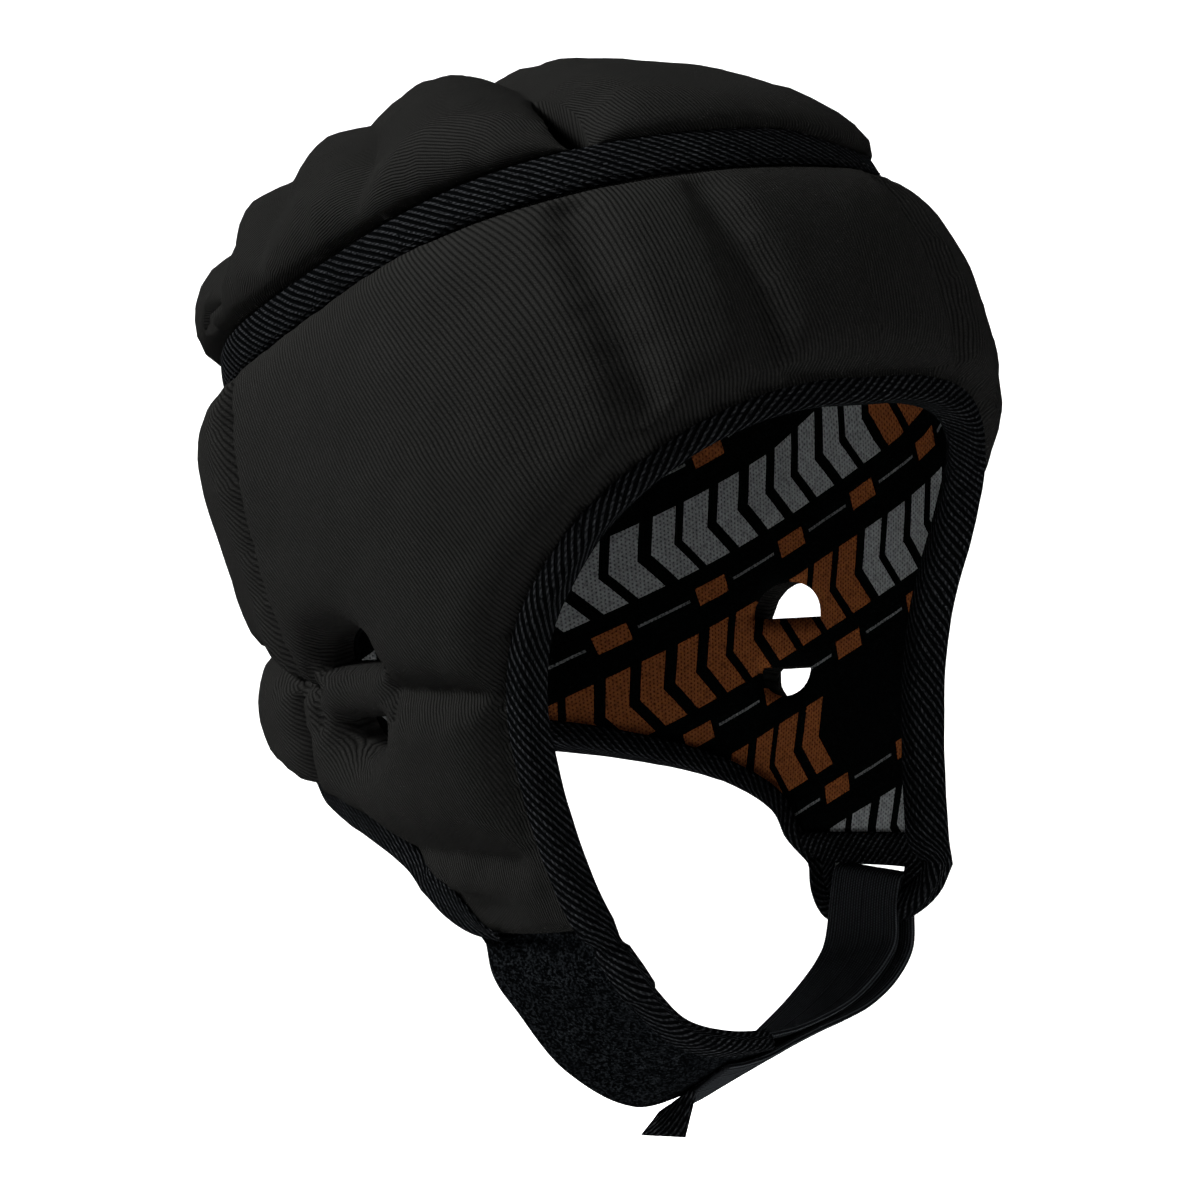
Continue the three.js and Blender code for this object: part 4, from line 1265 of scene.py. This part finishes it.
def twill_finish(name):
    """Twill tape: bold slanted lines of painted highlight flecks on a near-black ground."""
    sizes, colours = settings()
    finish = Finish(name)
    along, across = finish.cloth_axes()
    spot = finish.object_spot()
    stray = finish.noise(spot, scale=130.0, detail=1.0) * 0.35
    place = (along - across * TWILL_STEEPNESS) / sizes.twill_pitch + stray
    ridge = 1 - (place.fract() - 0.5).size() * 2.0
    threads = (across / TWILL_THREAD_PITCH + place.floor() * 0.37).wave()
    fuzz = finish.noise(spot, scale=1500.0)
    # Painted highlight: light where the twill ridges, threads and fuzz rise in the bump, broken up
    # by noise and random patches
    lit = ridge.rise(low=0.42, high=0.85) * fuzz.rise(low=0.3, high=0.62)
    patchy = finish.noise(spot, scale=45.0)
    ridge_highlight = lit * (0.25 + threads * 0.75) * (0.6 + patchy * 0.8)
    finish.set("Base Color", finish.blend(ridge_highlight, colours.tape, colours.tape_painted_highlight))
    finish.set("Roughness", 0.7 + fuzz * 0.22)
    height = ridge.rise(low=0.1, high=0.7) * 0.8 + ridge * threads * 0.25 + fuzz * 0.3
    finish.bump(height, depth=0.0005, strength=0.9)
    return finish.material


def pile_finish(name):
    """Loop pile: a fuzzy face of small uneven loops."""
    _, colours = settings()
    finish = Finish(name)
    spot = finish.object_spot()
    loops = finish.node("ShaderNodeTexVoronoi", None, {"Vector": spot, "Scale": 1100.0})
    fuzz = finish.noise(spot, scale=1300.0, detail=3.0)
    clumps = finish.noise(spot, scale=500.0)
    # Painted light and shade: lighter where the fuzz and clumps rise in the bump, darker where they
    # sink
    light = (fuzz * 0.9 + clumps * 0.3).rise(low=0.54, high=0.78)
    finish.set("Base Color", finish.blend(light, colours.pile_painted_shade, colours.pile))
    finish.set("Roughness", 0.86 + fuzz * 0.12)
    finish.bump(fuzz * 0.7 + clumps * 0.3 - loops * 0.8, depth=0.0007, strength=0.9)
    return finish.material


WEBBING_RIB_PITCH = 0.0011
WEBBING_WEFT_PITCH = 0.0008


def webbing_finish(name):
    """Woven strap: fine ribs along its length, crossed by weft threads."""
    _, colours = settings()
    finish = Finish(name)
    along, across = finish.cloth_axes()
    ribs = across / WEBBING_RIB_PITCH
    rib = ribs.wave()
    weft = (along / WEBBING_WEFT_PITCH + ribs.floor() * 0.5).wave()
    fuzz = finish.noise(finish.object_spot(), scale=1300.0)
    # Painted light and shade: lighter on the raised ribs, weft and fuzz of the bump, darker between
    # them
    light = (rib * 0.5 + rib * weft * 0.35 + fuzz * 0.4).rise(low=0.35, high=0.95)
    finish.set("Base Color", finish.blend(light, colours.webbing_painted_shade, colours.webbing))
    finish.set("Roughness", 0.62 + fuzz * 0.24)
    finish.bump(rib * 0.6 + rib * weft * 0.4 + fuzz * 0.2, depth=0.00028, strength=0.8)
    return finish.material


def thread_finish(name):
    """Sewing thread of lit and dark strands."""
    _, colours = settings()
    finish = Finish(name, specular=0.01)
    fuzz = finish.noise(finish.object_spot(), scale=2600.0)
    finish.set("Base Color", finish.blend(fuzz, colours.thread_deep, colours.thread))
    finish.set("Roughness", 0.5 + fuzz * 0.25)
    return finish.material


FLOOR_SHADE = 0.985
FLOOR_ROUGHNESS = 0.9


def floor_finish(name):
    """Pale studio floor with the faintest grain."""
    _, colours = settings()
    finish = Finish(name, specular=0.1)
    finish.shader.inputs["Roughness"].default_value = FLOOR_ROUGHNESS
    grain = finish.noise(finish.object_spot(), scale=6.0)
    shade = tuple(FLOOR_SHADE * part for part in colours.floor)
    finish.set("Base Color", finish.blend(grain, shade, colours.floor))
    return finish.material


KNIT = ("headgear_knit", knit_finish)
LINING = ("headgear_lining", lining_finish)
TWILL = ("headgear_twill", twill_finish)
PILE = ("headgear_pile", pile_finish)
WEBBING = ("headgear_webbing", webbing_finish)
THREAD = ("headgear_thread", thread_finish)
FLOOR = ("headgear_floor", floor_finish)


# Halves of the two pads
PAD_ROWS = (0.7, 1.5, 2.6, 4.2, 6.4, 9)
PAD_STEP = 2.9
LINING_STEP = 4.5
EDGE_STEP = 2.2


def crown_loops(slits):
    seam = seam_curve(CrownChart, -SEAM_HALF_GAP, EDGE_STEP)
    midline = resample([seam[-1], seam[0]], EDGE_STEP)
    loops = [np.concatenate([seam[:-1], midline[:-1]])]
    if slits:
        loops += [slit_loop(*slit) for slit in CROWN_SLITS]
    return seam, loops


def crown_limits(seam):
    strip = CROWN_TAPE_WIDTH + BOUND_STRIP
    limits = [held_at(seam, SEAM_THICKNESS, strip, CROWN_RIM_ROUND, "roll", CROWN_RIM_SLOPE)]
    for depth, width, points in CROWN_CHANNELS:
        limits.append(sewn_down(spline(points, 80), depth, CHANNEL_FLAT, width))
    return limits


BandEdges = namedtuple("BandEdges", "seam face bottom neck rim")


def band_edges(flap):
    """Edges of half the band, with the bound part of the right flap's rim in its neck edge."""
    face_level, neck_level, way = flap
    face = edge_curve(FACE_EDGE, face_level, EDGE_STEP)
    neck = edge_curve(NECK_EDGE, neck_level, EDGE_STEP)
    turn, level = np.array(way).T
    bottom = spline(np.concatenate([face[-1:], band_spot(turn, level), neck[-1:]]), 200)
    rim = bottom = resample(bottom, EDGE_STEP)
    if flap is RIGHT_FLAP:
        corner = int(len(bottom) * RIGHT_CORNER_SHARE)
        neck = np.concatenate([neck, bottom[corner:-1][::-1]])
        bottom = bottom[:corner + 1]
    return BandEdges(seam_curve(BandChart, SEAM_HALF_GAP, EDGE_STEP), face, bottom, neck, rim)


def face_wall(spots):
    """Thickness of the band at its face edge, thinner over the brow than at the cheek."""
    cheek = smoothstep(spots[:, 0] / DEGREE_LENGTH, *BROW_TURNS)
    return BROW_EDGE_THICKNESS + (CHEEK_EDGE_THICKNESS - BROW_EDGE_THICKNESS) * cheek


def neck_wall(spots):
    return np.full(len(spots), float(NECK_EDGE_THICKNESS))


def face_cover(flap, line):
    return np.full(len(line), float(TAPE_COVER))


def neck_cover(flap, line):
    """Width of the neck tape, which tapers where it turns under the right flap's tab."""
    left = lengths_along(line)[-1] - lengths_along(line)
    taper = 1 - smoothstep(left, 0, NECK_TAPER) if flap is RIGHT_FLAP else 0
    return np.full(len(line), float(NECK_TAPE_COVER)) * (1 - NECK_TAPER_SHARE * taper)


def slot_loop():
    """The strap's slot in the left flap, as a loop of the band's chart."""
    middle, rear, out, down = strap_flap_axes()
    across = np.linspace(-SLOT_HALF_WIDTH, SLOT_HALF_WIDTH, 20)
    sides = [(a, -SLOT_HALF_HEIGHT) for a in across]
    sides += [(a, SLOT_HALF_HEIGHT) for a in across[::-1]]
    points = np.array([middle + rear * a + down * d + out * STRAP_FLAP_LIFT for a, d in sides])
    turn = np.degrees(np.arctan2(points[:, 0], -points[:, 1]))
    return band_spot(turn, points[:, 2])


def band_loops(flap):
    edges = band_edges(flap)
    front = resample([edges.seam[0], edges.face[0]], EDGE_STEP)
    back = resample([edges.neck[0], edges.seam[-1]], EDGE_STEP)
    outline = [front, edges.face, edges.bottom, edges.neck[::-1], back, edges.seam[::-1]]
    holes = [ear_hole(*hole, 1.8) for hole in EAR_HOLES]
    loops = [np.concatenate([line[:-1] for line in outline]), *holes]
    if flap is LEFT_FLAP:
        loops.append(slot_loop())
    return edges, holes, loops


def band_limits(flap, edges, holes):
    limits = [
        held_at(edges.seam, SEAM_THICKNESS, CHANNEL_FLAT, BAND_TOP_ROUND),
        held_at(edges.face, face_wall, TAPE_COVER + BROW_STRIP, BROW_ROUND),
        held_at(edges.neck, neck_wall, NECK_TAPE_COVER + BOUND_STRIP, BOUND_ROUND),
    ]
    limits += [held_at(closed_line(hole), HOLE_THICKNESS, 0, HOLE_ROUND) for hole in holes]
    for depth, flat, width, profile, points in BAND_CHANNELS:
        turn, level = spline(points, 40).T
        limits.append(sewn_down(band_spot(turn, level), depth, flat, width, profile))
    welt = seam_curve(BandChart, SEAM_HALF_GAP + WELT_DROP, EDGE_STEP)
    limits.append(sewn_down(welt, WELT_DEPTH, 0, WELT_ROUND))
    if flap is RIGHT_FLAP:
        limits.append(held_at(edges.bottom, TAB_JOINT_THICKNESS, 0, TAB_JOINT_ROUND))
    return limits


def flap_thinning(flap, spots):
    """Share by which the lower end of the left flap has thinned to its slotted plate."""
    level = BandChart.place(spots)[:, 2]
    low = smoothstep(-level, *FLAP_THIN_LEVELS)
    return low if flap is LEFT_FLAP else np.zeros(len(spots))


def flap_lift(flap, spots):
    """Distance by which the left flap leaves the head to lie in the plane of its slot."""
    middle, _, out, _ = strap_flap_axes()
    place, normal = BandChart.place(spots), chart_normal(BandChart, spots)
    facing = np.maximum(normal @ out, FLAP_LEAST_FACING)
    to_plane = (middle + out * STRAP_FLAP_LIFT - place) @ out / facing
    return flap_thinning(flap, spots) * np.clip(to_plane, -FLAP_LIFT_LIMIT, FLAP_LIFT_LIMIT)


def soft_full(chart, spots, full):
    """Full thickness of a pad with the gentle dents and swells of its filling."""
    softness = settings()[0].softness / MM
    points = chart.place(spots)
    return full + softness * sum(share * swell(points, size, seed) for size, seed, share in SWELLS)


def band_uv(spots):
    """Cloth lengths of the band. Its ribs lean forwards as they go down, most at the sides."""
    front_lean, side_lean = BAND_LEANS
    side = smoothstep(spots[:, 0] / DEGREE_LENGTH, *BAND_LEAN_TURNS)
    lean = front_lean + (side_lean - front_lean) * side
    start, end = BAND_CLOSING_RANGE
    bend = np.clip(spots[:, 0] - start, 0, end - start)
    past = np.maximum(spots[:, 0] - end, 0)
    closing = BAND_CLOSING * (bend * bend / (2 * (end - start)) + past)
    across = spots[:, 0] - closing + lean * (spots[:, 1] - QUARTER)
    return np.stack([across, spots[:, 1]], axis=1) * BAND_STRETCH


def crown_uv(spots):
    """Cloth lengths of the crown, with the ribs leaning outwards behind its front lobes."""
    across = spots[:, 0] - CROWN_LEAN * np.maximum(spots[:, 1] - CROWN_LEAN_START, 0)
    return np.stack([across, spots[:, 1]], axis=1) * CROWN_STRETCH


def padded_band_half(flap):
    thickness = settings()[0].band_thickness / MM
    edges, holes, loops = band_loops(flap)
    limits = band_limits(flap, edges, holes)
    spots, faces = triangulated(loops, limits, PAD_ROWS, PAD_STEP)
    full = soft_full(BandChart, spots, band_fullness(spots, thickness))
    padded = pad_thickness(BandChart, spots, full, limits)
    outer = np.maximum(padded, PAD_INNER + LEAST_PADDING)
    thin = flap_thinning(flap, spots)
    lift = flap_lift(flap, spots)
    outer = outer + (FLAP_THINNESS - outer) * thin + lift
    return shell_piece(BandChart, spots, faces, outer, PAD_INNER + lift, band_uv(spots))


def lining_half(chart, loops, lift):
    spots, faces = triangulated(loops, [], (), LINING_STEP)
    inner = LINING_RIPPLE * swell(chart.place(spots), *LINING_SWELL) - LINING_SLACK
    lifts = lift(spots)
    return shell_piece(chart, spots, faces, LINING_THICKNESS + lifts, inner + lifts, spots)


class HEADGEAR_OT_crown_pad(bpy.types.Operator):
    """Add the padded crown with its leaf-shaped lobes and vent slits"""

    bl_idname = "headgear.crown_pad"
    bl_label = "Crown pad"

    def execute(self, context):
        thickness = context.scene.headgear_sizes.crown_thickness / MM
        seam, loops = crown_loops(slits=True)
        limits = crown_limits(seam)
        spots, faces = triangulated(loops, limits, PAD_ROWS, PAD_STEP)
        full = soft_full(CrownChart, spots, crown_fullness(spots, thickness))
        outer = pad_thickness(CrownChart, spots, full, limits)
        inner = np.full(len(spots), PAD_INNER)
        rolled = (rolled_out(spots, seam, overhang) for overhang in CROWN_OVERHANGS)
        left, right = (
            shell_piece(CrownChart, spots, faces, outer, inner, crown_uv(spots), outer_spots)
            for outer_spots in rolled)
        pad = new_object("crown_pad_cover", joined(left, mirrored(right)), finish_for(*KNIT))
        settle(pad, "rib_knit", "crown_pad")
        return {"FINISHED"}


class HEADGEAR_OT_band_pad(bpy.types.Operator):
    """Add the padded band with its ear flaps and ear holes"""

    bl_idname = "headgear.band_pad"
    bl_label = "Band pad"

    def execute(self, context):
        left = padded_band_half(LEFT_FLAP)
        right = mirrored(padded_band_half(RIGHT_FLAP))
        pad = new_object("band_pad_cover", joined(left, right), finish_for(*KNIT))
        settle(pad, "rib_knit", "band_pad")
        return {"FINISHED"}


class HEADGEAR_OT_linings(bpy.types.Operator):
    """Add the printed mesh linings of the crown and of the band"""

    bl_idname = "headgear.linings"
    bl_label = "Linings"

    def execute(self, context):
        _, loops = crown_loops(slits=False)
        half = lining_half(CrownChart, loops, lambda spots: np.zeros(len(spots)))
        crown = new_object("crown_lining_cloth", joined(half, mirrored(half)), finish_for(*LINING))
        settle(crown, "mesh_lining", "crown_lining")
        left, right = (
            lining_half(BandChart, band_loops(flap)[2], partial(flap_lift, flap))
            for flap in (LEFT_FLAP, RIGHT_FLAP))
        halves = joined(left, mirrored(right))
        band = new_object("band_lining_cloth", halves, finish_for(*LINING))
        settle(band, "mesh_lining", "band_lining")
        return {"FINISHED"}


def crown_tape_sections():
    """Sections of the tape round the crown, from the seam up to where it tucks under the lobes."""
    seam = seam_curve(CrownChart, -SEAM_HALF_GAP, CROWN_TAPE_STEP)
    bottom = SEAM_THICKNESS + CROWN_TAPE_LIFT
    inwards = np.linspace(CROWN_TAPE_START, CROWN_TAPE_WIDTH + CROWN_TAPE_TUCK, 9)
    bulge = CROWN_TAPE_BULGE * np.sin(np.linspace(0, math.pi, len(inwards)))
    outwards = bottom + TAPE_THICKNESS / 2 + CROWN_RIM_SLOPE * inwards + bulge
    section = tape_section(np.stack([inwards, outwards], axis=1), TAPE_THICKNESS)
    drop = np.linalg.norm(seam, axis=1, keepdims=True)
    half = np.stack([
        lifted(CrownChart, seam * (drop - inward) / drop, np.full(len(seam), out))
        for inward, out in section
    ], axis=1)
    return np.concatenate([half, mirror_sections(half[1:-1])[::-1]])


def tab_tape_sections():
    """Sections of the face tape along the chin tab, lapped at its start and thin at its end."""
    section = folded_tape(TAB_THICKNESS)
    made = []
    for share in np.linspace(TAB_END - TAB_TAPE_MARGIN, TAB_TAPE_MARGIN, 60):
        origin = loop_point(share, TAB_FRONT_INSET, 0)
        into = unit(loop_point(share, 1, 0) - origin)
        out = loop_point(share, TAB_FRONT_INSET, 1) - origin
        lap = smoothstep(share, *TAB_LAP_START) * (1 - smoothstep(share, *TAB_LAP_END))
        ending = smoothstep(share, TAB_END - TAB_TAPE_NARROWING_LENGTH, TAB_END)
        narrow = 1 - TAB_TAPE_NARROWING * ending
        wide = (1 + TAB_LAP_WIDENING * lap) * narrow
        thick = 1 + TAB_LAP_THICKENING * lap - TAB_TAPE_FLATTENING * (1 - narrow)
        origin = origin - into * (TAB_LAP_SHIFT * lap)
        made.append(in_axes(section * (wide, thick), origin, into, out))
    return np.array(made)


def band_tape_sections(flap, line, hand, wall, cover, seed):
    thin = flap_thinning(flap, line)
    walls = wall(line) + (FLAP_THINNESS - wall(line)) * thin
    return edge_sections(line, hand, walls, cover(flap, line), flap_lift(flap, line), seed)


def both_flaps(right_line, left_line, *tape):
    """Sections of a tape that runs from the right flap's end to the left flap's end."""
    right = mirror_sections(band_tape_sections(RIGHT_FLAP, right_line, *tape))
    return np.concatenate([right[::-1], band_tape_sections(LEFT_FLAP, left_line, *tape)[1:]])


class HEADGEAR_OT_bindings(bpy.types.Operator):
    """Add the tape over the crown seam and the tapes folded round the face and neck edges"""

    bl_idname = "headgear.bindings"
    bl_label = "Bindings"

    def execute(self, context):
        twill = finish_for(*TWILL)
        tape = swept(crown_tape_sections(), closed=True)
        crown = new_object("crown_tape", tape._replace(corner_uv=tape.corner_uv * (-1, 1)), twill)
        settle(crown, "twill_tape", "crown_binding")
        right, left = band_edges(RIGHT_FLAP), band_edges(LEFT_FLAP)
        left_way = resample(np.concatenate([left.face, left.bottom[1:]]), EDGE_STEP)
        face_way = both_flaps(right.face, left_way, -1, face_wall, face_cover, FACE_TAPE_SEED)
        face_way = np.concatenate([tab_tape_sections(), face_way])
        face = new_object("face_tape", swept(face_way), twill)
        settle(face, "twill_tape", "face_binding")
        neck_way = both_flaps(right.neck, left.neck, 1, neck_wall, neck_cover, NECK_TAPE_SEED)
        neck = new_object("neck_tape", swept(neck_way), twill)
        settle(neck, "twill_tape", "neck_binding")
        return {"FINISHED"}


class HEADGEAR_OT_chin_tab(bpy.types.Operator):
    """Add the loop-pile tab that comes down from the right flap"""

    bl_idname = "headgear.chin_tab"
    bl_label = "Chin tab"

    def execute(self, context):
        across = np.linspace(0, 1, 30)
        middle = TAB_THICKNESS / 2
        half = middle * rounded_edges(across, TAB_EDGE_SHARE, TAB_EDGE_THINNESS)
        rim = band_edges(RIGHT_FLAP).rim
        joint = at_lengths(rim, across * lengths_along(rim)[-1])
        upper, lower = (
            mirror_sections(lifted(BandChart, joint, TAB_JOINT_LIFT + middle + side * half))
            for side in (1, -1))
        start = np.concatenate([upper, lower[::-1]])
        sections = []
        for share in np.linspace(0, TAB_END, 90):
            rounding = TAB_ROUNDING * smoothstep(share, TAB_END * TAB_ROUNDING_START, TAB_END)
            front = TAB_FRONT_INSET + rounding * TAB_FRONT_ROUNDING
            line = front + (1 - rounding - front) * across
            upper = [loop_point(share, a, middle + h) for a, h in zip(line, half)]
            lower = [loop_point(share, a, middle - h) for a, h in zip(line, half)]
            sections.append(np.array(upper + lower[::-1]))
        joining = [start + (sections[0] - start) * s for s in np.linspace(0, 1, 12)[:-1]]
        piece = swept(np.array(joining + sections))
        tab = new_object("chin_tab_pile", piece, finish_for(*PILE))
        settle(tab, "loop_pile", "chin_tab")
        return {"FINISHED"}


def patch_loops():
    """The woven patch inside the left flap: below its top edge, a little inside the tapes."""
    face = edge_curve(FACE_EDGE, PATCH_TOP_LEVEL, EDGE_STEP)[-1]
    neck = edge_curve(NECK_EDGE, PATCH_TOP_LEVEL, EDGE_STEP)[-1]
    edges = band_edges(LEFT_FLAP)
    front = edges.face[edges.face[:, 1] > face[1]]
    rear = edges.neck[edges.neck[:, 1] > neck[1]][::-1]
    outline = np.concatenate([[face], front, edges.bottom[1:-1], rear, [neck]])
    middle = outline.mean(axis=0)
    inset = middle + (outline - middle) * PATCH_INSET
    return [resample(closed_line(inset), EDGE_STEP)[:-1], slot_loop()]


class HEADGEAR_OT_strap_flap(bpy.types.Operator):
    """Add the slotted patch inside the lower end of the left flap"""

    bl_idname = "headgear.strap_flap"
    bl_label = "Strap patch"

    def execute(self, context):
        spots, faces = triangulated(patch_loops(), [], (), PATCH_STEP)
        outer, inner = (flap_lift(LEFT_FLAP, spots) + face for face in PATCH_FACES)
        piece = shell_piece(BandChart, spots, faces, outer, inner, spots)
        patch = new_object("strap_patch_cloth", piece, finish_for(*TWILL))
        settle(patch, "twill_tape", "strap_flap")
        return {"FINISHED"}


class HEADGEAR_OT_chin_strap(bpy.types.Operator):
    """Add the doubled chin strap and its pull tab"""

    bl_idname = "headgear.chin_strap"
    bl_label = "Chin strap"

    def execute(self, context):
        fronts, rears = strap_stations()
        count = 6 * len(fronts)
        webbing = ribbon(
            spline(fronts, count), spline(rears, count), STRAP_THICKNESS, STRAP_GROOVES)
        strap = new_object("chin_strap_webbing", webbing, finish_for(*WEBBING))
        settle(strap, "webbing", "chin_strap")
        start = fronts[0] + (rears[0] - fronts[0]) * PULL_TAB_START
        shares = np.linspace(0, 1, 16)
        front_edge, rear_edge = (
            corner + np.outer(shares, reach)
            for corner, reach in zip((start, rears[0]), PULL_TAB_REACH))
        end = ribbon(front_edge, rear_edge, PULL_TAB_THICKNESS, PULL_TAB_GROOVES)
        pull = new_object("pull_tab_webbing", end, finish_for(*TWILL))
        settle(pull, "webbing", "pull_tab")
        return {"FINISHED"}


def stitches(lines):
    """Short spindles along lines of points, each with the directions away from the cloth."""
    length = settings()[0].stitch_length / MM
    points, faces = [], []
    for line, outs in lines:
        total = lengths_along(line)[-1]
        count = int(total / length)
        starts = np.arange(count) * total / count
        heads, tails = (at_lengths(line, starts + shown * length) for shown in STITCH_SHOWN)
        lifts = at_lengths(np.column_stack([lengths_along(line), outs]), starts)[:, 1:]
        for head, tail, lift in zip(heads, tails, unit(lifts)):
            first = len(points)
            side = unit(np.cross(tail - head, lift)) * STITCH_HALF_WIDTH
            up = lift * STITCH_HALF_HEIGHT
            points += [head - up, tail - up]
            for share in STITCH_FULL:
                middle = head + (tail - head) * share
                points += [middle + side, middle + up, middle - side, middle - up]
            ring, other = first + 2, first + 6
            for k in range(4):
                n = (k + 1) % 4
                faces += [[first, ring + n, ring + k], [ring + k, ring + n, other + n, other + k],
                          [first + 1, other + k, other + n]]
    piece = Piece(np.array(points), faces, np.zeros((sum(map(len, faces)), 2)))
    return piece if signed_volume(piece) > 0 else turned(piece)


def section_line(sections, corner, other):
    """A line of stitches along one corner of a sweep, facing away from another corner."""
    line = sections[:, corner]
    return line, unit(line - sections[:, other])


class HEADGEAR_OT_stitching(bpy.types.Operator):
    """Add the row of stitches along the crown's tape"""

    bl_idname = "headgear.stitching"
    bl_label = "Stitching"

    def execute(self, context):
        crown = crown_tape_sections()
        crown = np.concatenate([crown, crown[:1]])
        lines = [section_line(crown, 1, crown.shape[1] - 2)]
        made = new_object("binding_stitches", stitches(lines), finish_for(*THREAD))
        settle(made, "twill_tape")
        return {"FINISHED"}


def add_floor():
    angle = np.linspace(0, math.pi / 2, COVE_STEPS)[1:]
    profile = [(FLOOR_RADIUS, 0.0)]
    profile += [
        (FLOOR_RADIUS + COVE_RADIUS * math.sin(a), COVE_RADIUS * (1 - math.cos(a))) for a in angle]
    profile += [(FLOOR_RADIUS + COVE_RADIUS, WALL_HEIGHT)]
    points, faces = [(0.0, 0.0, FLOOR_LEVEL)], []
    for radius, height in profile:
        for k in range(WALL_SIDES):
            a = 2 * math.pi * k / WALL_SIDES
            points.append((radius * math.cos(a), radius * math.sin(a), FLOOR_LEVEL + height))
    for k in range(WALL_SIDES):
        n = (k + 1) % WALL_SIDES
        faces.append((0, 1 + k, 1 + n))
        for ring in range(len(profile) - 1):
            a, b = 1 + ring * WALL_SIDES + k, 1 + ring * WALL_SIDES + n
            faces.append((a, a + WALL_SIDES, b + WALL_SIDES, b))
    mesh = bpy.data.meshes.new("studio_floor")
    mesh.from_pydata(points, [], faces)
    mesh.shade_smooth()
    mesh.materials.append(finish_for(*FLOOR))
    floor = bpy.data.objects.new("studio_floor", mesh)
    bpy.context.scene.collection.objects.link(floor)


def add_light(name, location, target, size, power, spread):
    bpy.ops.object.light_add(type="AREA", location=location)
    light = bpy.context.object
    light.name = name
    light.data.size = size
    light.data.energy = power
    light.data.spread = math.radians(spread)
    aim = Vector(target) - Vector(location)
    light.rotation_euler = aim.to_track_quat("-Z", "Y").to_euler()


def set_world(scene):
    scene.world = scene.world or bpy.data.worlds.new("studio_world")
    scene.world.use_nodes = True
    backdrop = scene.world.node_tree.nodes["Background"]
    backdrop.inputs["Color"].default_value = (1.0, 1.0, 1.0, 1.0)
    backdrop.inputs["Strength"].default_value = WORLD_STRENGTH
    scene.view_settings.view_transform = "Standard"


def add_camera():
    azimuth, elevation, roll = (
        math.radians(angle) for angle in (CAMERA_AZIMUTH, CAMERA_ELEVATION, CAMERA_ROLL))
    level = math.cos(elevation)
    back = Vector((math.sin(azimuth) * level, -math.cos(azimuth) * level, math.sin(elevation)))
    right = Vector((math.cos(azimuth), math.sin(azimuth), 0))
    up = back.cross(right)
    rolled_right = right * math.cos(roll) + up * math.sin(roll)
    rolled_up = up * math.cos(roll) - right * math.sin(roll)
    location = (Vector(CAMERA_TARGET) + back * CAMERA_DISTANCE) * MM
    bpy.ops.object.camera_add(location=location)
    camera = bpy.context.object
    camera.name = "photo_camera"
    turn = Matrix((rolled_right, rolled_up, back)).transposed().to_4x4()
    camera.matrix_world = Matrix.Translation(location) @ turn
    camera.data.sensor_width = CAMERA_SENSOR
    camera.data.lens = CAMERA_LENS
    return camera


class HEADGEAR_OT_stage(bpy.types.Operator):
    """Add the floor, the studio lights and the camera"""

    bl_idname = "headgear.stage"
    bl_label = "Stage"

    def execute(self, context):
        bpy.ops.object.select_all(action="DESELECT")
        add_floor()
        set_world(context.scene)
        for light in LIGHTS:
            add_light(*light)
        context.scene.camera = add_camera()
        return {"FINISHED"}


STEPS = (
    HEADGEAR_OT_stage, HEADGEAR_OT_crown_pad, HEADGEAR_OT_band_pad, HEADGEAR_OT_linings,
    HEADGEAR_OT_bindings, HEADGEAR_OT_chin_tab, HEADGEAR_OT_strap_flap, HEADGEAR_OT_chin_strap,
    HEADGEAR_OT_stitching,
)


class HEADGEAR_PT_panel(bpy.types.Panel):
    """Sizes, colours and steps of the headgear"""

    bl_idname = "HEADGEAR_PT_panel"
    bl_label = "Headgear"
    bl_space_type = "VIEW_3D"
    bl_region_type = "UI"
    bl_category = "Headgear"

    def draw(self, context):
        for group in (context.scene.headgear_sizes, context.scene.headgear_colours):
            for key in group.bl_rna.properties.keys():
                if key not in {"rna_type", "name"}:
                    self.layout.prop(group, key)
        for step in STEPS:
            self.layout.operator(step.bl_idname)


CLASSES = (HeadgearSizes, HeadgearColours, *STEPS, HEADGEAR_PT_panel)


def register():
    for cls in CLASSES:
        bpy.utils.register_class(cls)
    bpy.types.Scene.headgear_sizes = PointerProperty(type=HeadgearSizes)
    bpy.types.Scene.headgear_colours = PointerProperty(type=HeadgearColours)


def unregister():
    del bpy.types.Scene.headgear_sizes
    del bpy.types.Scene.headgear_colours
    for cls in reversed(CLASSES):
        bpy.utils.unregister_class(cls)


def main():
    register()
    bpy.ops.object.select_all(action="DESELECT")
    for step in STEPS:
        group, name = step.bl_idname.split(".")
        getattr(getattr(bpy.ops, group), name)()


if __name__ == "__main__":
    main()
